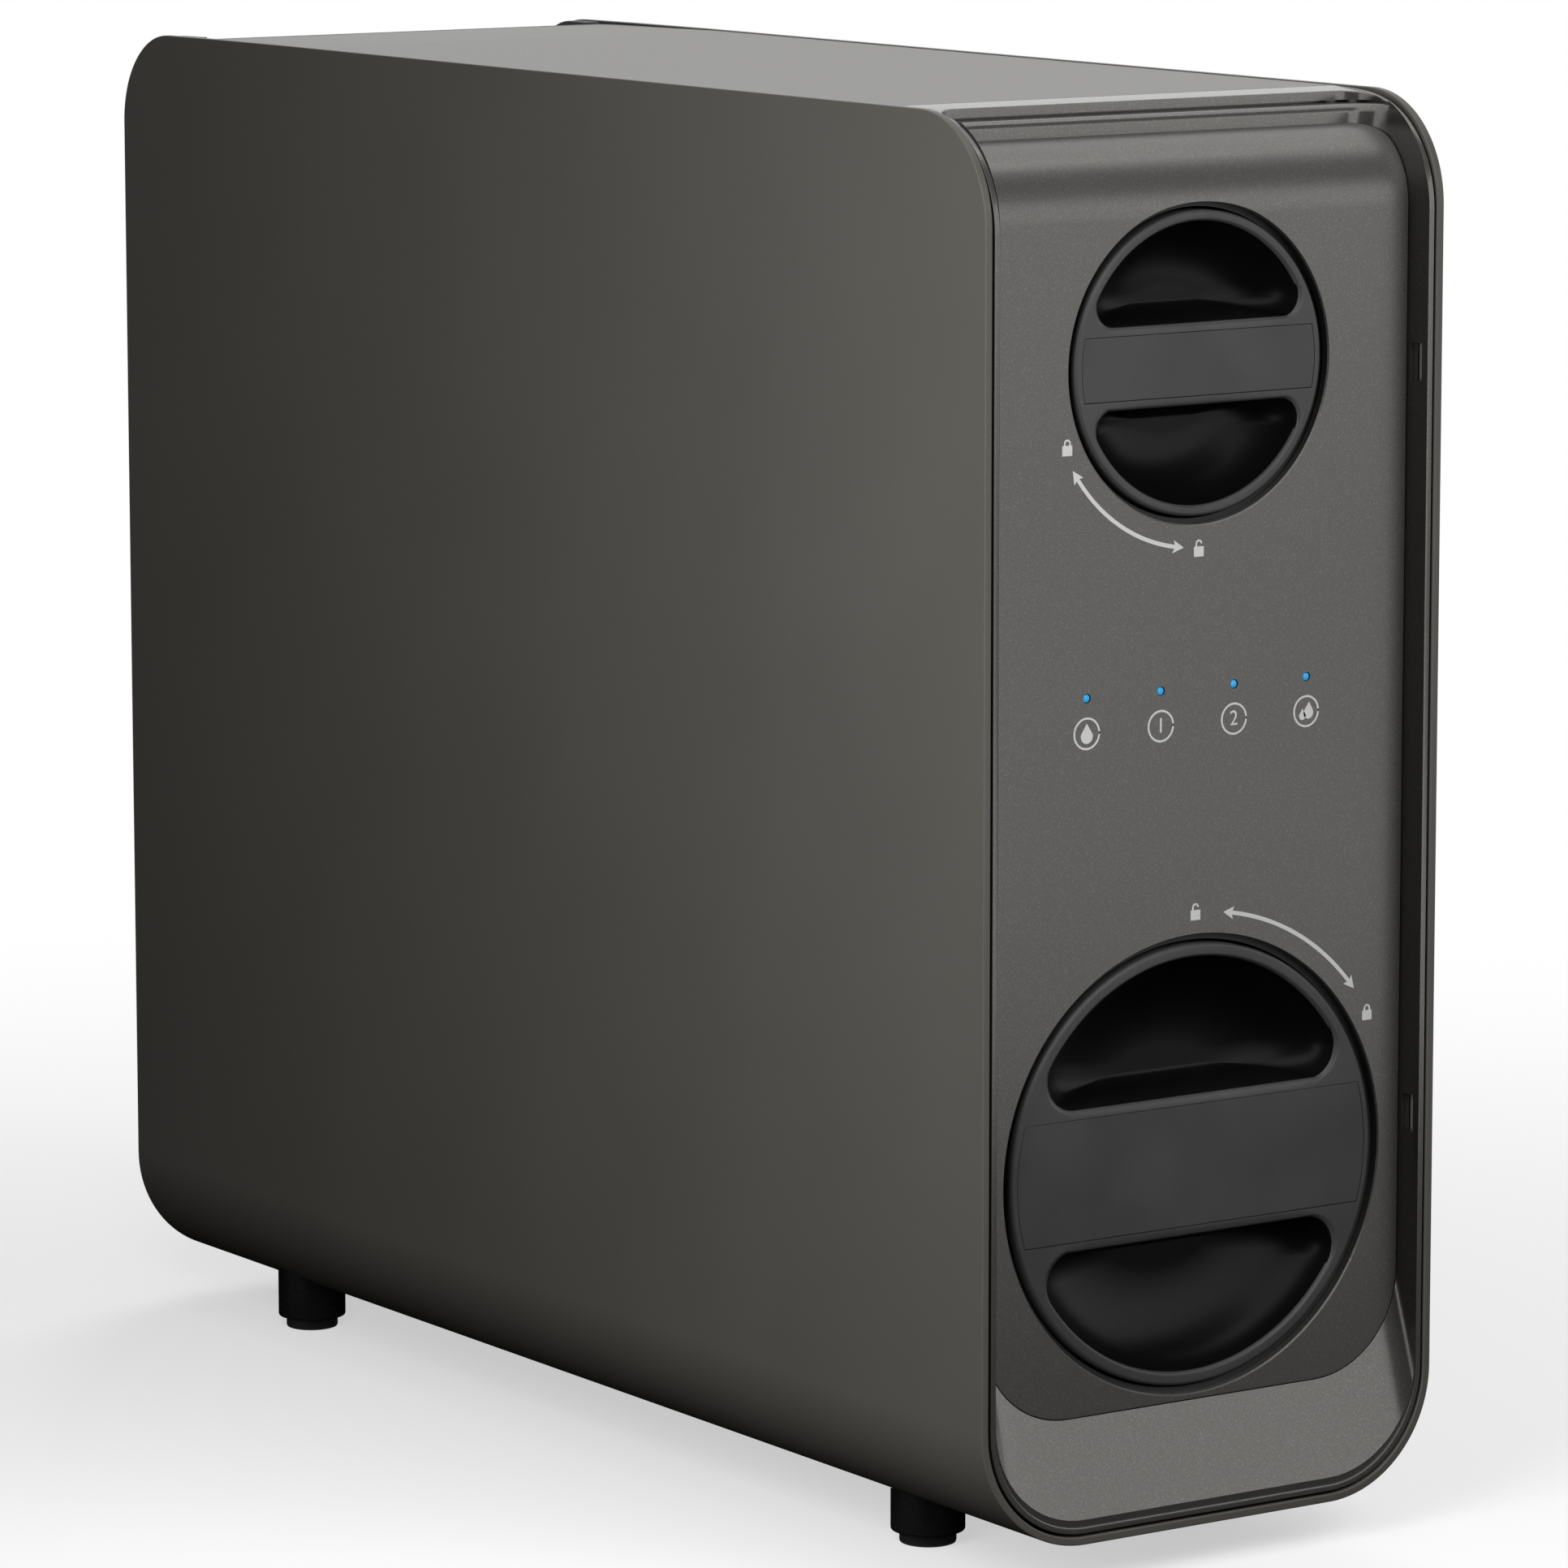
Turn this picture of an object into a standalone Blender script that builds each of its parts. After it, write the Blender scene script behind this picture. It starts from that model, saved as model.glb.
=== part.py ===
"""Under-sink reverse osmosis unit with two twist-lock cartridges.

Metres, +Z up. The front faces -Y and the origin lies on the floor, under the middle of the case.
"""
from math import acos, cos, pi, radians, sin, sqrt

import bmesh
import bpy
from mathutils import Matrix, Vector

# Case
SHELL_WIDTH = 0.150
SHELL_DEPTH = 0.450
SHELL_HEIGHT = 0.380
SHELL_WALL = 0.0022
SHELL_BOTTOM_RADIUS = 0.034
FRONT_CORNER_RADIUS = 0.030
REAR_CORNER_RADIUS = 0.027
REAR_FALL = 0.0007
REAR_FALL_LENGTH = 0.075
SEAT_GAP = 0.0003

# Front frame and face panel, as depths behind the shell's front edge
FRAME_GAP = 0.0008
RIM_WIDTH = 0.0018
RIM_SET_BACK = 0.0003
RIM_SET_DOWN = 0.0010
CROWN_ANGLE = 70.0
RECESS_DEPTH = 0.0080
RECESS_DRAFT = 0.0007
PANEL_THICKNESS = 0.0025
LEDGE_THICKNESS = 0.0032
LEDGE_WIDTH = 0.0050
CHIN_HEIGHT = 0.0324
CHIN_CORNER_RADIUS = 0.0280
BAR_SET_BACK = 0.0250
BAR_TOP_DROP = 0.0039
BAR_FILLET = 0.0024
BAR_CORNER_RADIUS = 0.0085
LIP_SET_BACK = 0.0320
LIP_CORNER_RADIUS = 0.0080
LIP_ROOT = 0.0040
SHADOW_GAP = 0.0007
SEAM_SET_BACK = 0.0440
SNAP_WINDOW_DEPTH = 0.0042
SNAP_WINDOW_HEIGHT = 0.0102
SNAP_WINDOW_SET_BACK = 0.0046
SNAP_WINDOW_HEIGHTS = (0.1037, 0.3082)

# Indicators on the face panel
INDICATOR_SHARE = 0.6066
INDICATOR_PITCH_SHARE = 0.4654
INDICATOR_COUNT = 4
PIPE_RADIUS = 0.0010
PIPE_FLANGE_RADIUS = 0.0022
PIPE_FLANGE_LENGTH = 0.0012
BOARD_SET_BACK = 0.0190
BOARD_THICKNESS = 0.0016
BOARD_MARGIN = 0.0230
BOARD_HEIGHT = 0.034
BOARD_BOSS_RADIUS = 0.0035
BOARD_BOSS_INSET = 0.0060

# Top cover and rear moulding
COVER_THICKNESS = 0.0020
COVER_SET_DOWN = 0.00025
COVER_REAR_FALL = 0.0010
COVER_FLANGE = 0.0090
REAR_RECESS_DEPTH = 0.0380
REAR_RECESS_DRAFT = 0.0030
REAR_CHIN_HEIGHT = 0.0170
REAR_WALL = 0.0025

# Feet
FOOT_DROP = 0.0120
FOOT_RADIUS = 0.0102
FOOT_PAD_RADIUS = 0.0078
FOOT_PAD_SHOW = 0.0035
FOOT_PAD_SEAT = 0.0015
FOOT_END_DISTANCE = 0.0650
FRONT_FOOT_INSET = 0.0285
REAR_FOOT_INSET = 0.0236

# Cartridges
CARBON_AXIS_DROP = 0.0686
CARBON_CAP_RADIUS = 0.0404
CARBON_CAN_STEP = 0.0024
CARBON_BAR_HALF = 0.0109
CARBON_INSERT_HALF = 0.0086
CARBON_NECK_RADIUS = 0.0157
CARBON_POCKET_CORNER = 0.0055
MEMBRANE_AXIS_HEIGHT = 0.0966
MEMBRANE_CAP_MARGIN = 0.0150
MEMBRANE_CAN_STEP = 0.0030
MEMBRANE_BAR_HALF = 0.0191
MEMBRANE_INSERT_HALF = 0.0166
MEMBRANE_NECK_RADIUS = 0.0190
MEMBRANE_POCKET_CORNER = 0.0085
CAP_SET_BACK = 0.0083
CAP_LENGTH = 0.0220
CAP_EDGE = 0.0008
CAP_HOLE_GAP = 0.0022
CAP_RING_WIDTH = 0.0030
CAP_PLUG_LENGTH = 0.0070
POCKET_DEPTH = 0.0150
POCKET_TAPER = 0.0040
INSERT_DEPTH = 0.0009
INSERT_MARGIN = 0.0021
CAN_WALL = 0.0024
CAN_SHOULDER = 0.0100
MEDIA_GAP = 0.0020
MEDIA_BORE_RADIUS = 0.0080
NECK_LENGTH = 0.0260
LUG_REACH = 0.0032
LUG_WIDTH = 0.0060
LUG_LENGTH = 0.0090
RING_SECTION = 0.0012

# Sleeves, heads and valve rotors
SLEEVE_GAP = 0.0008
SLEEVE_WALL = 0.0020
SLEEVE_REAR_ROOM = 0.1500
HEAD_LENGTH = 0.0400
HEAD_BACK_WALL = 0.0080
ROTOR_WALL = 0.0063
ROTOR_LENGTH = 0.0260
NECK_GAP = 0.0004
STUB_RADIUS = 0.0050
STUB_BORE_RADIUS = 0.0022
STUB_LENGTH = 0.0080
CARBON_STUB_OFFSET = 0.0180
MEMBRANE_STUB_SHARE = 0.40
PROBE_RADIUS = 0.0070
PROBE_LENGTH = 0.0180
PROBE_DROP = 0.0240
SWITCH_RADIUS = 0.0110
SWITCH_LENGTH = 0.0220
SWITCH_DROP = 0.0300

# Chassis
BULKHEAD_THICKNESS = 0.0030
BULKHEAD_GAP = 0.0005
FRONT_BULKHEAD_SET_BACK = 0.0600
REAR_BULKHEAD_ROOM = 0.1700
TRAY_CLEARANCE = 0.0010
TRAY_THICKNESS = 0.0030
TRAY_RIB_THICKNESS = 0.0060
TRAY_RIB_COUNT = 3
SHELF_CLEARANCE = 0.0036
SHELF_THICKNESS = 0.0030
SHELF_LIP = 0.0080
LEAK_SENSOR_RADIUS = 0.0120
LEAK_SENSOR_HEIGHT = 0.0060

# Booster pump
PUMP_REAR_ROOM = 0.3200
PUMP_HEAD_SHARE = 0.3125
MOTOR_STEP = 0.0040
MOTOR_LENGTH = 0.0950
PUMP_HEAD_LENGTH = 0.0580
PUMP_CAVITY_SHARE = 0.59
PUMP_CAVITY_DEPTH = 0.0240
PUMP_STUB_SHARE = 0.41
SHAFT_RADIUS = 0.0040
SHAFT_DEPTH = 0.0260
HUB_SHARE = 0.35
HUB_THROW = 0.0020
HUB_LENGTH = 0.0160
CRADLE_WIDTH = 0.0600
CRADLE_THICKNESS = 0.0080
CRADLE_SHARE = 0.56
CRADLE_INSET = 0.0100

# Valves, ports and tubes
PORT_HEIGHT = 0.1650
PORT_SIDE_ROOM = 0.0300
PORT_RADIUS = 0.0090
PORT_NECK_RADIUS = 0.0060
PORT_LENGTH = 0.0200
PORT_INNER_LENGTH = 0.0060
TUBE_RADIUS = 0.00318
SOCKET_DEPTH = 0.0160
COLLET_RADIUS = 0.0050
COLLET_FLANGE_RADIUS = 0.0066
COLLET_FLANGE = 0.0014
COLLET_TRAVEL = 0.0015
COLLET_SLEEVE = 0.0060
VALVE_WIDTH = 0.0260
VALVE_LENGTH = 0.0500
VALVE_HEIGHT = 0.0240
COIL_RADIUS = 0.0120
COIL_HEIGHT = 0.0330
PLUNGER_RADIUS = 0.0040
PLUNGER_LENGTH = 0.0200
PLUNGER_BORE_DEPTH = 0.0260
POWER_WIDTH = 0.0140
POWER_HEIGHT = 0.0100
POWER_WALL = 0.0016
POWER_LENGTH = 0.0120
POWER_SOCKET_DEPTH = 0.0090
POWER_FLANGE = 0.0030
POWER_FLANGE_THICKNESS = 0.0020
POWER_DROP = 0.0450
ROUND_STEPS = 24
WIDE_STEPS = 32
SMALL_STEPS = 16
TINY_STEPS = 10
ARC_STEPS = 6
CORNER_STEPS = 4

FRONT = -SHELL_DEPTH / 2
REAR = SHELL_DEPTH / 2
FLOOR = FOOT_DROP
TOP = FOOT_DROP + SHELL_HEIGHT
HALF_WIDTH = SHELL_WIDTH / 2
CLEAR_OF_CASE = 0.02
FRAME_HALF = HALF_WIDTH - SHELL_WALL - FRAME_GAP
RIM_HALF = FRAME_HALF - RIM_WIDTH
FACE_HALF = RIM_HALF - RECESS_DRAFT
FRAME_INSET = SHELL_WALL + FRAME_GAP
RIM_INSET = FRAME_INSET + RIM_WIDTH
PANEL_BACK = RECESS_DEPTH + PANEL_THICKNESS
LEDGE_FRONT = PANEL_BACK + SEAT_GAP
LEDGE_BACK = LEDGE_FRONT + LEDGE_THICKNESS
CAP_FRONT = FRONT + CAP_SET_BACK
CAP_BACK = CAP_FRONT + CAP_LENGTH
REAR_FACE = REAR - REAR_RECESS_DEPTH
REAR_PANEL_FRONT = REAR_FACE - REAR_WALL
CARBON_HEIGHT = TOP - CARBON_AXIS_DROP
CARBON_CAN_RADIUS = CARBON_CAP_RADIUS - CARBON_CAN_STEP
MEMBRANE_HEIGHT = FLOOR + MEMBRANE_AXIS_HEIGHT
MEMBRANE_CAP_RADIUS = HALF_WIDTH - MEMBRANE_CAP_MARGIN
MEMBRANE_CAN_RADIUS = MEMBRANE_CAP_RADIUS - MEMBRANE_CAN_STEP
MEMBRANE_STUB_OFFSET = MEMBRANE_CAP_RADIUS * MEMBRANE_STUB_SHARE
SLEEVE_END = SHELL_DEPTH - SLEEVE_REAR_ROOM
REAR_BULKHEAD_SET_BACK = SHELL_DEPTH - REAR_BULKHEAD_ROOM
PUMP_START = SHELL_DEPTH - PUMP_REAR_ROOM
LOWER_SLEEVE_TOP = MEMBRANE_HEIGHT + MEMBRANE_CAP_RADIUS + SLEEVE_GAP + SLEEVE_WALL
UPPER_SLEEVE_LOW = CARBON_HEIGHT - CARBON_CAP_RADIUS - SLEEVE_GAP - SLEEVE_WALL
MIDDLE_SPACE = UPPER_SLEEVE_LOW - LOWER_SLEEVE_TOP
INDICATOR_Z = LOWER_SLEEVE_TOP + MIDDLE_SPACE * INDICATOR_SHARE
SHELF_LOW = LOWER_SLEEVE_TOP + SHELF_CLEARANCE
PUMP_HEIGHT = LOWER_SLEEVE_TOP + MIDDLE_SPACE / 2
PUMP_HEAD_RADIUS = MIDDLE_SPACE * PUMP_HEAD_SHARE
PUMP_CAVITY_RADIUS = PUMP_HEAD_RADIUS * PUMP_CAVITY_SHARE
PUMP_STUB_OFFSET = PUMP_HEAD_RADIUS * PUMP_STUB_SHARE
HUB_RADIUS = PUMP_HEAD_RADIUS * HUB_SHARE
MOTOR_RADIUS = PUMP_HEAD_RADIUS - MOTOR_STEP
PORT_PITCH = HALF_WIDTH - PORT_SIDE_ROOM
TRAY_HALF = HALF_WIDTH - SHELL_BOTTOM_RADIUS - TRAY_CLEARANCE
BOARD_HALF = HALF_WIDTH - BOARD_MARGIN
INDICATOR_PITCH = BOARD_HALF * INDICATOR_PITCH_SHARE
HEAD_FRONT = FRONT + SLEEVE_END + SEAT_GAP
HEAD_BACK = HEAD_FRONT + HEAD_LENGTH

for old_object in list(bpy.data.objects):
    bpy.data.objects.remove(old_object, do_unlink=True)


def make_finish(name, colour, roughness, metallic=0.0):
    finish = bpy.data.materials.new(name)
    finish.use_nodes = True
    shader = finish.node_tree.nodes["Principled BSDF"]
    shader.inputs["Base Color"].default_value = (*colour, 1.0)
    shader.inputs["Roughness"].default_value = roughness
    shader.inputs["Metallic"].default_value = metallic
    return finish


SHELL_PAINT = make_finish("warm_grey_paint", (0.085, 0.083, 0.078), 0.45, 0.4)
FLAKE_PAINT = make_finish("grey_flake_paint", (0.11, 0.11, 0.105), 0.3, 0.7)
BLACK_PLASTIC = make_finish("matt_black_plastic", (0.02, 0.02, 0.021), 0.5)
DARK_PLASTIC = make_finish("dark_grey_plastic", (0.05, 0.05, 0.052), 0.55)
WHITE_PLASTIC = make_finish("white_plastic", (0.75, 0.75, 0.73), 0.45)
BLUE_PLASTIC = make_finish("blue_plastic", (0.05, 0.2, 0.5), 0.4)
RUBBER = make_finish("black_rubber", (0.015, 0.015, 0.015), 0.8)
STEEL = make_finish("zinc_steel", (0.55, 0.56, 0.58), 0.35, 1.0)
BRASS = make_finish("brass", (0.7, 0.5, 0.2), 0.3, 1.0)
BOARD_GREEN = make_finish("board_green", (0.02, 0.16, 0.07), 0.5)
CARBON = make_finish("carbon_black", (0.012, 0.012, 0.012), 0.95)
MEMBRANE = make_finish("membrane_white", (0.8, 0.8, 0.76), 0.7)
CLEAR_PIPE = make_finish("clear_blue_pipe", (0.25, 0.6, 0.85), 0.15)
TUBE = make_finish("white_tube", (0.8, 0.82, 0.82), 0.35)


def publish(bm, name, finish, location=(0, 0, 0)):
    """Turn a bmesh into a named, smooth-shaded object."""
    bmesh.ops.recalc_face_normals(bm, faces=bm.faces)
    mesh = bpy.data.meshes.new(name)
    bm.to_mesh(mesh)
    bm.free()
    mesh.materials.append(finish)
    mesh.shade_smooth()
    mesh.set_sharp_from_angle(angle=radians(30))
    thing = bpy.data.objects.new(name, mesh)
    thing.location = location
    bpy.context.collection.objects.link(thing)
    return thing


def combine(target, tool_bm, operation="DIFFERENCE"):
    """Cut, join or intersect an object with a tool shape given in world space."""
    tool = publish(tool_bm, "tool", target.data.materials[0])
    tool.hide_render = True
    tool.display_type = "WIRE"
    step = target.modifiers.new("step", "BOOLEAN")
    step.operation = operation
    step.solver = "EXACT"
    step.object = tool
    bpy.context.view_layer.update()
    graph = bpy.context.evaluated_depsgraph_get()
    result = bpy.data.meshes.new_from_object(target.evaluated_get(graph))
    target.modifiers.clear()
    target.data = result
    bpy.data.objects.remove(tool, do_unlink=True)
    result.shade_smooth()
    result.set_sharp_from_angle(angle=radians(30))


def arc(centre_a, centre_b, radius, start, end, steps=ARC_STEPS):
    """Points on an arc, angles in degrees."""
    turn = radians(end - start) / steps
    return [(centre_a + radius * cos(radians(start) + turn * i),
             centre_b + radius * sin(radians(start) + turn * i)) for i in range(steps + 1)]


def prism(outline, axis, low, high):
    """Extrude a flat outline along X, Y or Z."""
    order = {"X": lambda a, b, c: (c, a, b), "Y": lambda a, b, c: (a, c, b),
             "Z": lambda a, b, c: (a, b, c)}[axis]
    bm = bmesh.new()
    face = bm.faces.new([bm.verts.new(order(a, b, low)) for a, b in outline])
    grown = bmesh.ops.extrude_face_region(bm, geom=[face])
    moved = [item for item in grown["geom"] if isinstance(item, bmesh.types.BMVert)]
    bmesh.ops.translate(bm, verts=moved, vec=order(0, 0, high - low))
    bmesh.ops.recalc_face_normals(bm, faces=bm.faces)
    return bm


def block(low, high):
    """A box between two corners."""
    outline = [(low[0], low[1]), (high[0], low[1]), (high[0], high[1]), (low[0], high[1])]
    return prism(outline, "Z", low[2], high[2])


def turned(profile, axis="Y", ring=False, steps=ROUND_STEPS, place=(0, 0, 0)):
    """Spin a (radius, along) outline about an axis; a ring's outline closes on itself."""
    bm = bmesh.new()
    points = {"Y": lambda r, a: (r, a, 0), "Z": lambda r, a: (r, 0, a)}[axis]
    spin_axis = {"Y": (0, 1, 0), "Z": (0, 0, 1)}[axis]
    verts = [bm.verts.new(points(radius, along)) for radius, along in profile]
    edges = [bm.edges.new(pair) for pair in zip(verts, verts[1:])]
    if ring:
        edges.append(bm.edges.new((verts[-1], verts[0])))
    bmesh.ops.spin(bm, geom=verts + edges, cent=(0, 0, 0), axis=spin_axis, angle=2 * pi, steps=steps,
                   use_merge=True)
    bmesh.ops.remove_doubles(bm, verts=bm.verts, dist=1e-6)
    bmesh.ops.translate(bm, verts=bm.verts, vec=place)
    bmesh.ops.recalc_face_normals(bm, faces=bm.faces)
    return bm


def rod(radius, low, high, place, axis="Y", steps=ROUND_STEPS):
    """A plain cylinder from low to high along its axis."""
    return turned([(0, low), (radius, low), (radius, high), (0, high)], axis, place=place, steps=steps)


def add_stub(target, place, seat, direction=1, axis="Y"):
    """A hollow stub for a tube, standing on a wall at seat and pointing along the axis."""
    root = seat - direction * STUB_LENGTH / 2
    tip = seat + direction * STUB_LENGTH
    beyond = seat + direction * STUB_LENGTH * 2
    combine(target, rod(STUB_RADIUS, min(root, tip), max(root, tip), place, axis, SMALL_STEPS), "UNION")
    combine(target, rod(STUB_BORE_RADIUS, min(root, beyond), max(root, beyond), place, axis, TINY_STEPS))


def loft(rows):
    """Join rows of points, each a closed loop, and close both ends."""
    bm = bmesh.new()
    loops = [[bm.verts.new(point) for point in row] for row in rows]
    for near, far in zip(loops, loops[1:]):
        count = len(near)
        for i in range(count):
            bm.faces.new((near[i], near[(i + 1) % count], far[(i + 1) % count], far[i]))
    bm.faces.new(loops[0])
    bm.faces.new(loops[-1])
    bmesh.ops.remove_doubles(bm, verts=bm.verts, dist=1e-7)
    bmesh.ops.recalc_face_normals(bm, faces=bm.faces)
    return bm


def u_outline(inset, top):
    """The case's section seen from the front, moved in from the outer surface by inset."""
    half = HALF_WIDTH - inset
    low = FLOOR + inset
    radius = SHELL_BOTTOM_RADIUS - inset
    left = arc(-half + radius, low + radius, radius, 180, 270)
    right = arc(half - radius, low + radius, radius, 270, 360)
    return [(-half, top)] + left + right + [(half, top)]


def side_outline(inset):
    """The case's side view with its rounded top corners, moved in by inset at front, top and rear."""
    front_radius = FRONT_CORNER_RADIUS - inset
    rear_radius = REAR_CORNER_RADIUS - inset
    low = FLOOR - CLEAR_OF_CASE
    front_arc = arc(FRONT + FRONT_CORNER_RADIUS, TOP - FRONT_CORNER_RADIUS, front_radius, 180, 90)
    fall_start = [(REAR - REAR_FALL_LENGTH, TOP - inset)]
    rear_middle = TOP - REAR_FALL - REAR_CORNER_RADIUS
    rear_arc = arc(REAR - REAR_CORNER_RADIUS, rear_middle, rear_radius, 90, 0)
    return [(FRONT + inset, low)] + front_arc + fall_start + rear_arc + [(REAR - inset, low)]


def profile_point(depth, share, end):
    """A point (y, z) on the front profile, moved back by depth; share runs up the corner to y = end."""
    radius = FRONT_CORNER_RADIUS - depth
    middle_y = FRONT + FRONT_CORNER_RADIUS
    end_angle = acos((middle_y - end) / radius)
    angle = end_angle * share
    return middle_y - radius * cos(angle), TOP - FRONT_CORNER_RADIUS + radius * sin(angle)


def profile_height(depth, y):
    """The height of the front profile, moved in by depth, at one y."""
    radius = FRONT_CORNER_RADIUS - depth
    ahead = FRONT + FRONT_CORNER_RADIUS - y
    return TOP - FRONT_CORNER_RADIUS + sqrt(radius * radius - ahead * ahead)


def recess_rows(layers, end, corner=0.0):
    """Rows for a shape that follows the front profile.

    Each layer is (depth, half width, bottom height, bottom corner radius); the rows start at the
    bottom, go round its corners, up the sides and over the top corner to y = end, where the shape's
    two last corners can be round as seen from above.
    """
    rows = []
    for i in range(ARC_STEPS + 1):
        turn = radians(90) * i / ARC_STEPS
        row = []
        for depth, half, low, radius in layers:
            x = half - radius + radius * sin(turn)
            row.append((x, FRONT + depth, low + radius * (1 - cos(turn))))
        rows.append(row)
    for i in range(ARC_STEPS + 1):
        row = []
        for depth, half, low, radius in layers:
            y, z = profile_point(depth, i / ARC_STEPS, end - corner)
            row.append((half, y, z))
        rows.append(row)
    for i in range(1, CORNER_STEPS + 1) if corner else ():
        turn = radians(90) * i / CORNER_STEPS
        y = end - corner + corner * sin(turn)
        rows.append([(half - corner + corner * cos(turn), y, profile_height(depth, y))
                     for depth, half, low, radius in layers])
    return [row + [(-x, y, z) for x, y, z in reversed(row)] for row in rows]


def tier_rows(levels, start):
    """Rows for a cut from above, one per level (z, half width, end, corner radius, ease).

    Seen from above each level runs from y = start to y = end and has round corners there; the ease
    widens the end and fades out round the corners.
    """
    rows = []
    for z, half, end, corner, ease in levels:
        side = [(half, start, z)]
        for i in range(CORNER_STEPS + 1):
            turn = radians(90) * i / CORNER_STEPS
            reach = corner + ease * sin(turn)
            side.append((half - corner + reach * cos(turn), end - corner + reach * sin(turn), z))
        rows.append(side + [(-x, y, z) for x, y, z in reversed(side)])
    return rows


RIM_LOW = FLOOR + RIM_INSET
RIM_RADIUS = SHELL_BOTTOM_RADIUS - RIM_INSET
FACE_LOW = FLOOR + CHIN_HEIGHT


def face_layer(depth, inset):
    """The face panel's outline at a depth, moved in by inset."""
    return (depth, FACE_HALF - inset, FACE_LOW + inset, CHIN_CORNER_RADIUS - inset)


def make_shell():
    outer = u_outline(0, TOP + CLEAR_OF_CASE)
    inner = u_outline(SHELL_WALL, TOP + CLEAR_OF_CASE)
    shell = publish(prism(outer + inner[::-1], "Y", FRONT - CLEAR_OF_CASE, REAR + CLEAR_OF_CASE),
                    "outer_shell", SHELL_PAINT)
    combine(shell, prism(side_outline(0), "X", -SHELL_WIDTH, SHELL_WIDTH), "INTERSECT")


def frame_crown():
    """The frame's outer profile (y, z): its corner sits a little low and eases up to the seam."""
    middle_y = FRONT + FRONT_CORNER_RADIUS + RIM_SET_BACK
    middle_z = TOP - FRONT_CORNER_RADIUS - RIM_SET_DOWN
    points = arc(middle_y, middle_z, FRONT_CORNER_RADIUS, 180, 180 - CROWN_ANGLE)
    start_y, start_z = points[-1]
    run = FRONT + SEAM_SET_BACK - start_y
    rise = TOP - COVER_SET_DOWN - start_z
    for i in range(1, CORNER_STEPS + 1):
        share = i / CORNER_STEPS
        points.append((start_y + run * share, start_z + rise * (1 - (1 - share) ** 3)))
    return points


def make_front_frame():
    """The frame: a rim round the recess, the seat for the face panel, and a bar under a lip at the top."""
    seam = FRONT + SEAM_SET_BACK
    lip = FRONT + LIP_SET_BACK
    bar = FRONT + BAR_SET_BACK
    low = FLOOR + FRAME_INSET
    top_end = FRONT + FRONT_CORNER_RADIUS
    inside = [profile_point(LEDGE_BACK, i / ARC_STEPS, top_end) for i in range(ARC_STEPS + 1)]
    section = [(FRONT + RIM_SET_BACK, low)] + frame_crown() + [(seam, TOP - LEDGE_BACK)]
    section += inside[::-1] + [(FRONT + LEDGE_BACK, low)]
    frame = publish(prism(section, "X", -HALF_WIDTH, HALF_WIDTH), "front_frame", FLAKE_PAINT)
    outside = u_outline(FRAME_INSET, TOP + CLEAR_OF_CASE)
    combine(frame, prism(outside, "Y", FRONT - CLEAR_OF_CASE, 0), "INTERSECT")
    rim = (RIM_SET_BACK, RIM_HALF, RIM_LOW, RIM_RADIUS)
    ahead = (-FRAME_INSET, RIM_HALF, RIM_LOW, RIM_RADIUS)
    recess = [ahead, rim, face_layer(RECESS_DEPTH, 0), face_layer(LEDGE_FRONT, 0)]
    combine(frame, loft(recess_rows(recess, bar, BAR_CORNER_RADIUS)))
    window = [face_layer(RECESS_DEPTH, LEDGE_WIDTH), face_layer(LEDGE_BACK + LEDGE_WIDTH, LEDGE_WIDTH)]
    combine(frame, loft(recess_rows(window, bar - LEDGE_WIDTH)))
    bar_top = TOP - BAR_TOP_DROP
    under_lip = bar_top + SHADOW_GAP
    start = FRONT + BAR_SET_BACK / 2
    fillet = []
    edge = (FACE_HALF, bar - SEAT_GAP / 4, BAR_CORNER_RADIUS)
    for i in range(CORNER_STEPS + 1):
        turn = radians(90) * i / CORNER_STEPS
        fillet.append((bar_top - BAR_FILLET * (1 - sin(turn)), *edge, BAR_FILLET * (1 - cos(turn))))
    fillet.append((under_lip - SEAT_GAP, *edge, BAR_FILLET))
    combine(frame, loft(tier_rows(fillet, start)))
    root = seam - LIP_ROOT
    shadow = [(z, FACE_HALF - RECESS_DRAFT / 4, root, LIP_CORNER_RADIUS, 0.0) for z in (bar_top, under_lip)]
    combine(frame, loft(tier_rows(shadow, bar)))
    step = [(under_lip - SEAT_GAP, FACE_HALF + RECESS_DRAFT / 2, lip, LIP_CORNER_RADIUS, 0.0),
            (TOP + CLEAR_OF_CASE, RIM_HALF, lip, LIP_CORNER_RADIUS, 0.0)]
    combine(frame, loft(tier_rows(step, start + SEAT_GAP)))
    bore = MEMBRANE_CAP_RADIUS + SLEEVE_GAP + SLEEVE_WALL + SEAT_GAP
    bore_end = FRONT + LEDGE_BACK + LEDGE_WIDTH
    combine(frame, rod(bore, FRONT + RECESS_DEPTH, bore_end, (0, 0, MEMBRANE_HEIGHT), steps=WIDE_STEPS))
    for height in SNAP_WINDOW_HEIGHTS:
        middle = FRONT + SNAP_WINDOW_SET_BACK
        low_corner = (-HALF_WIDTH, middle - SNAP_WINDOW_DEPTH / 2, FLOOR + height - SNAP_WINDOW_HEIGHT / 2)
        high_corner = (HALF_WIDTH, middle + SNAP_WINDOW_DEPTH / 2, FLOOR + height + SNAP_WINDOW_HEIGHT / 2)
        combine(frame, block(low_corner, high_corner))


def indicator_places():
    span = INDICATOR_PITCH * (INDICATOR_COUNT - 1)
    return [INDICATOR_PITCH * i - span / 2 for i in range(INDICATOR_COUNT)]


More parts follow.
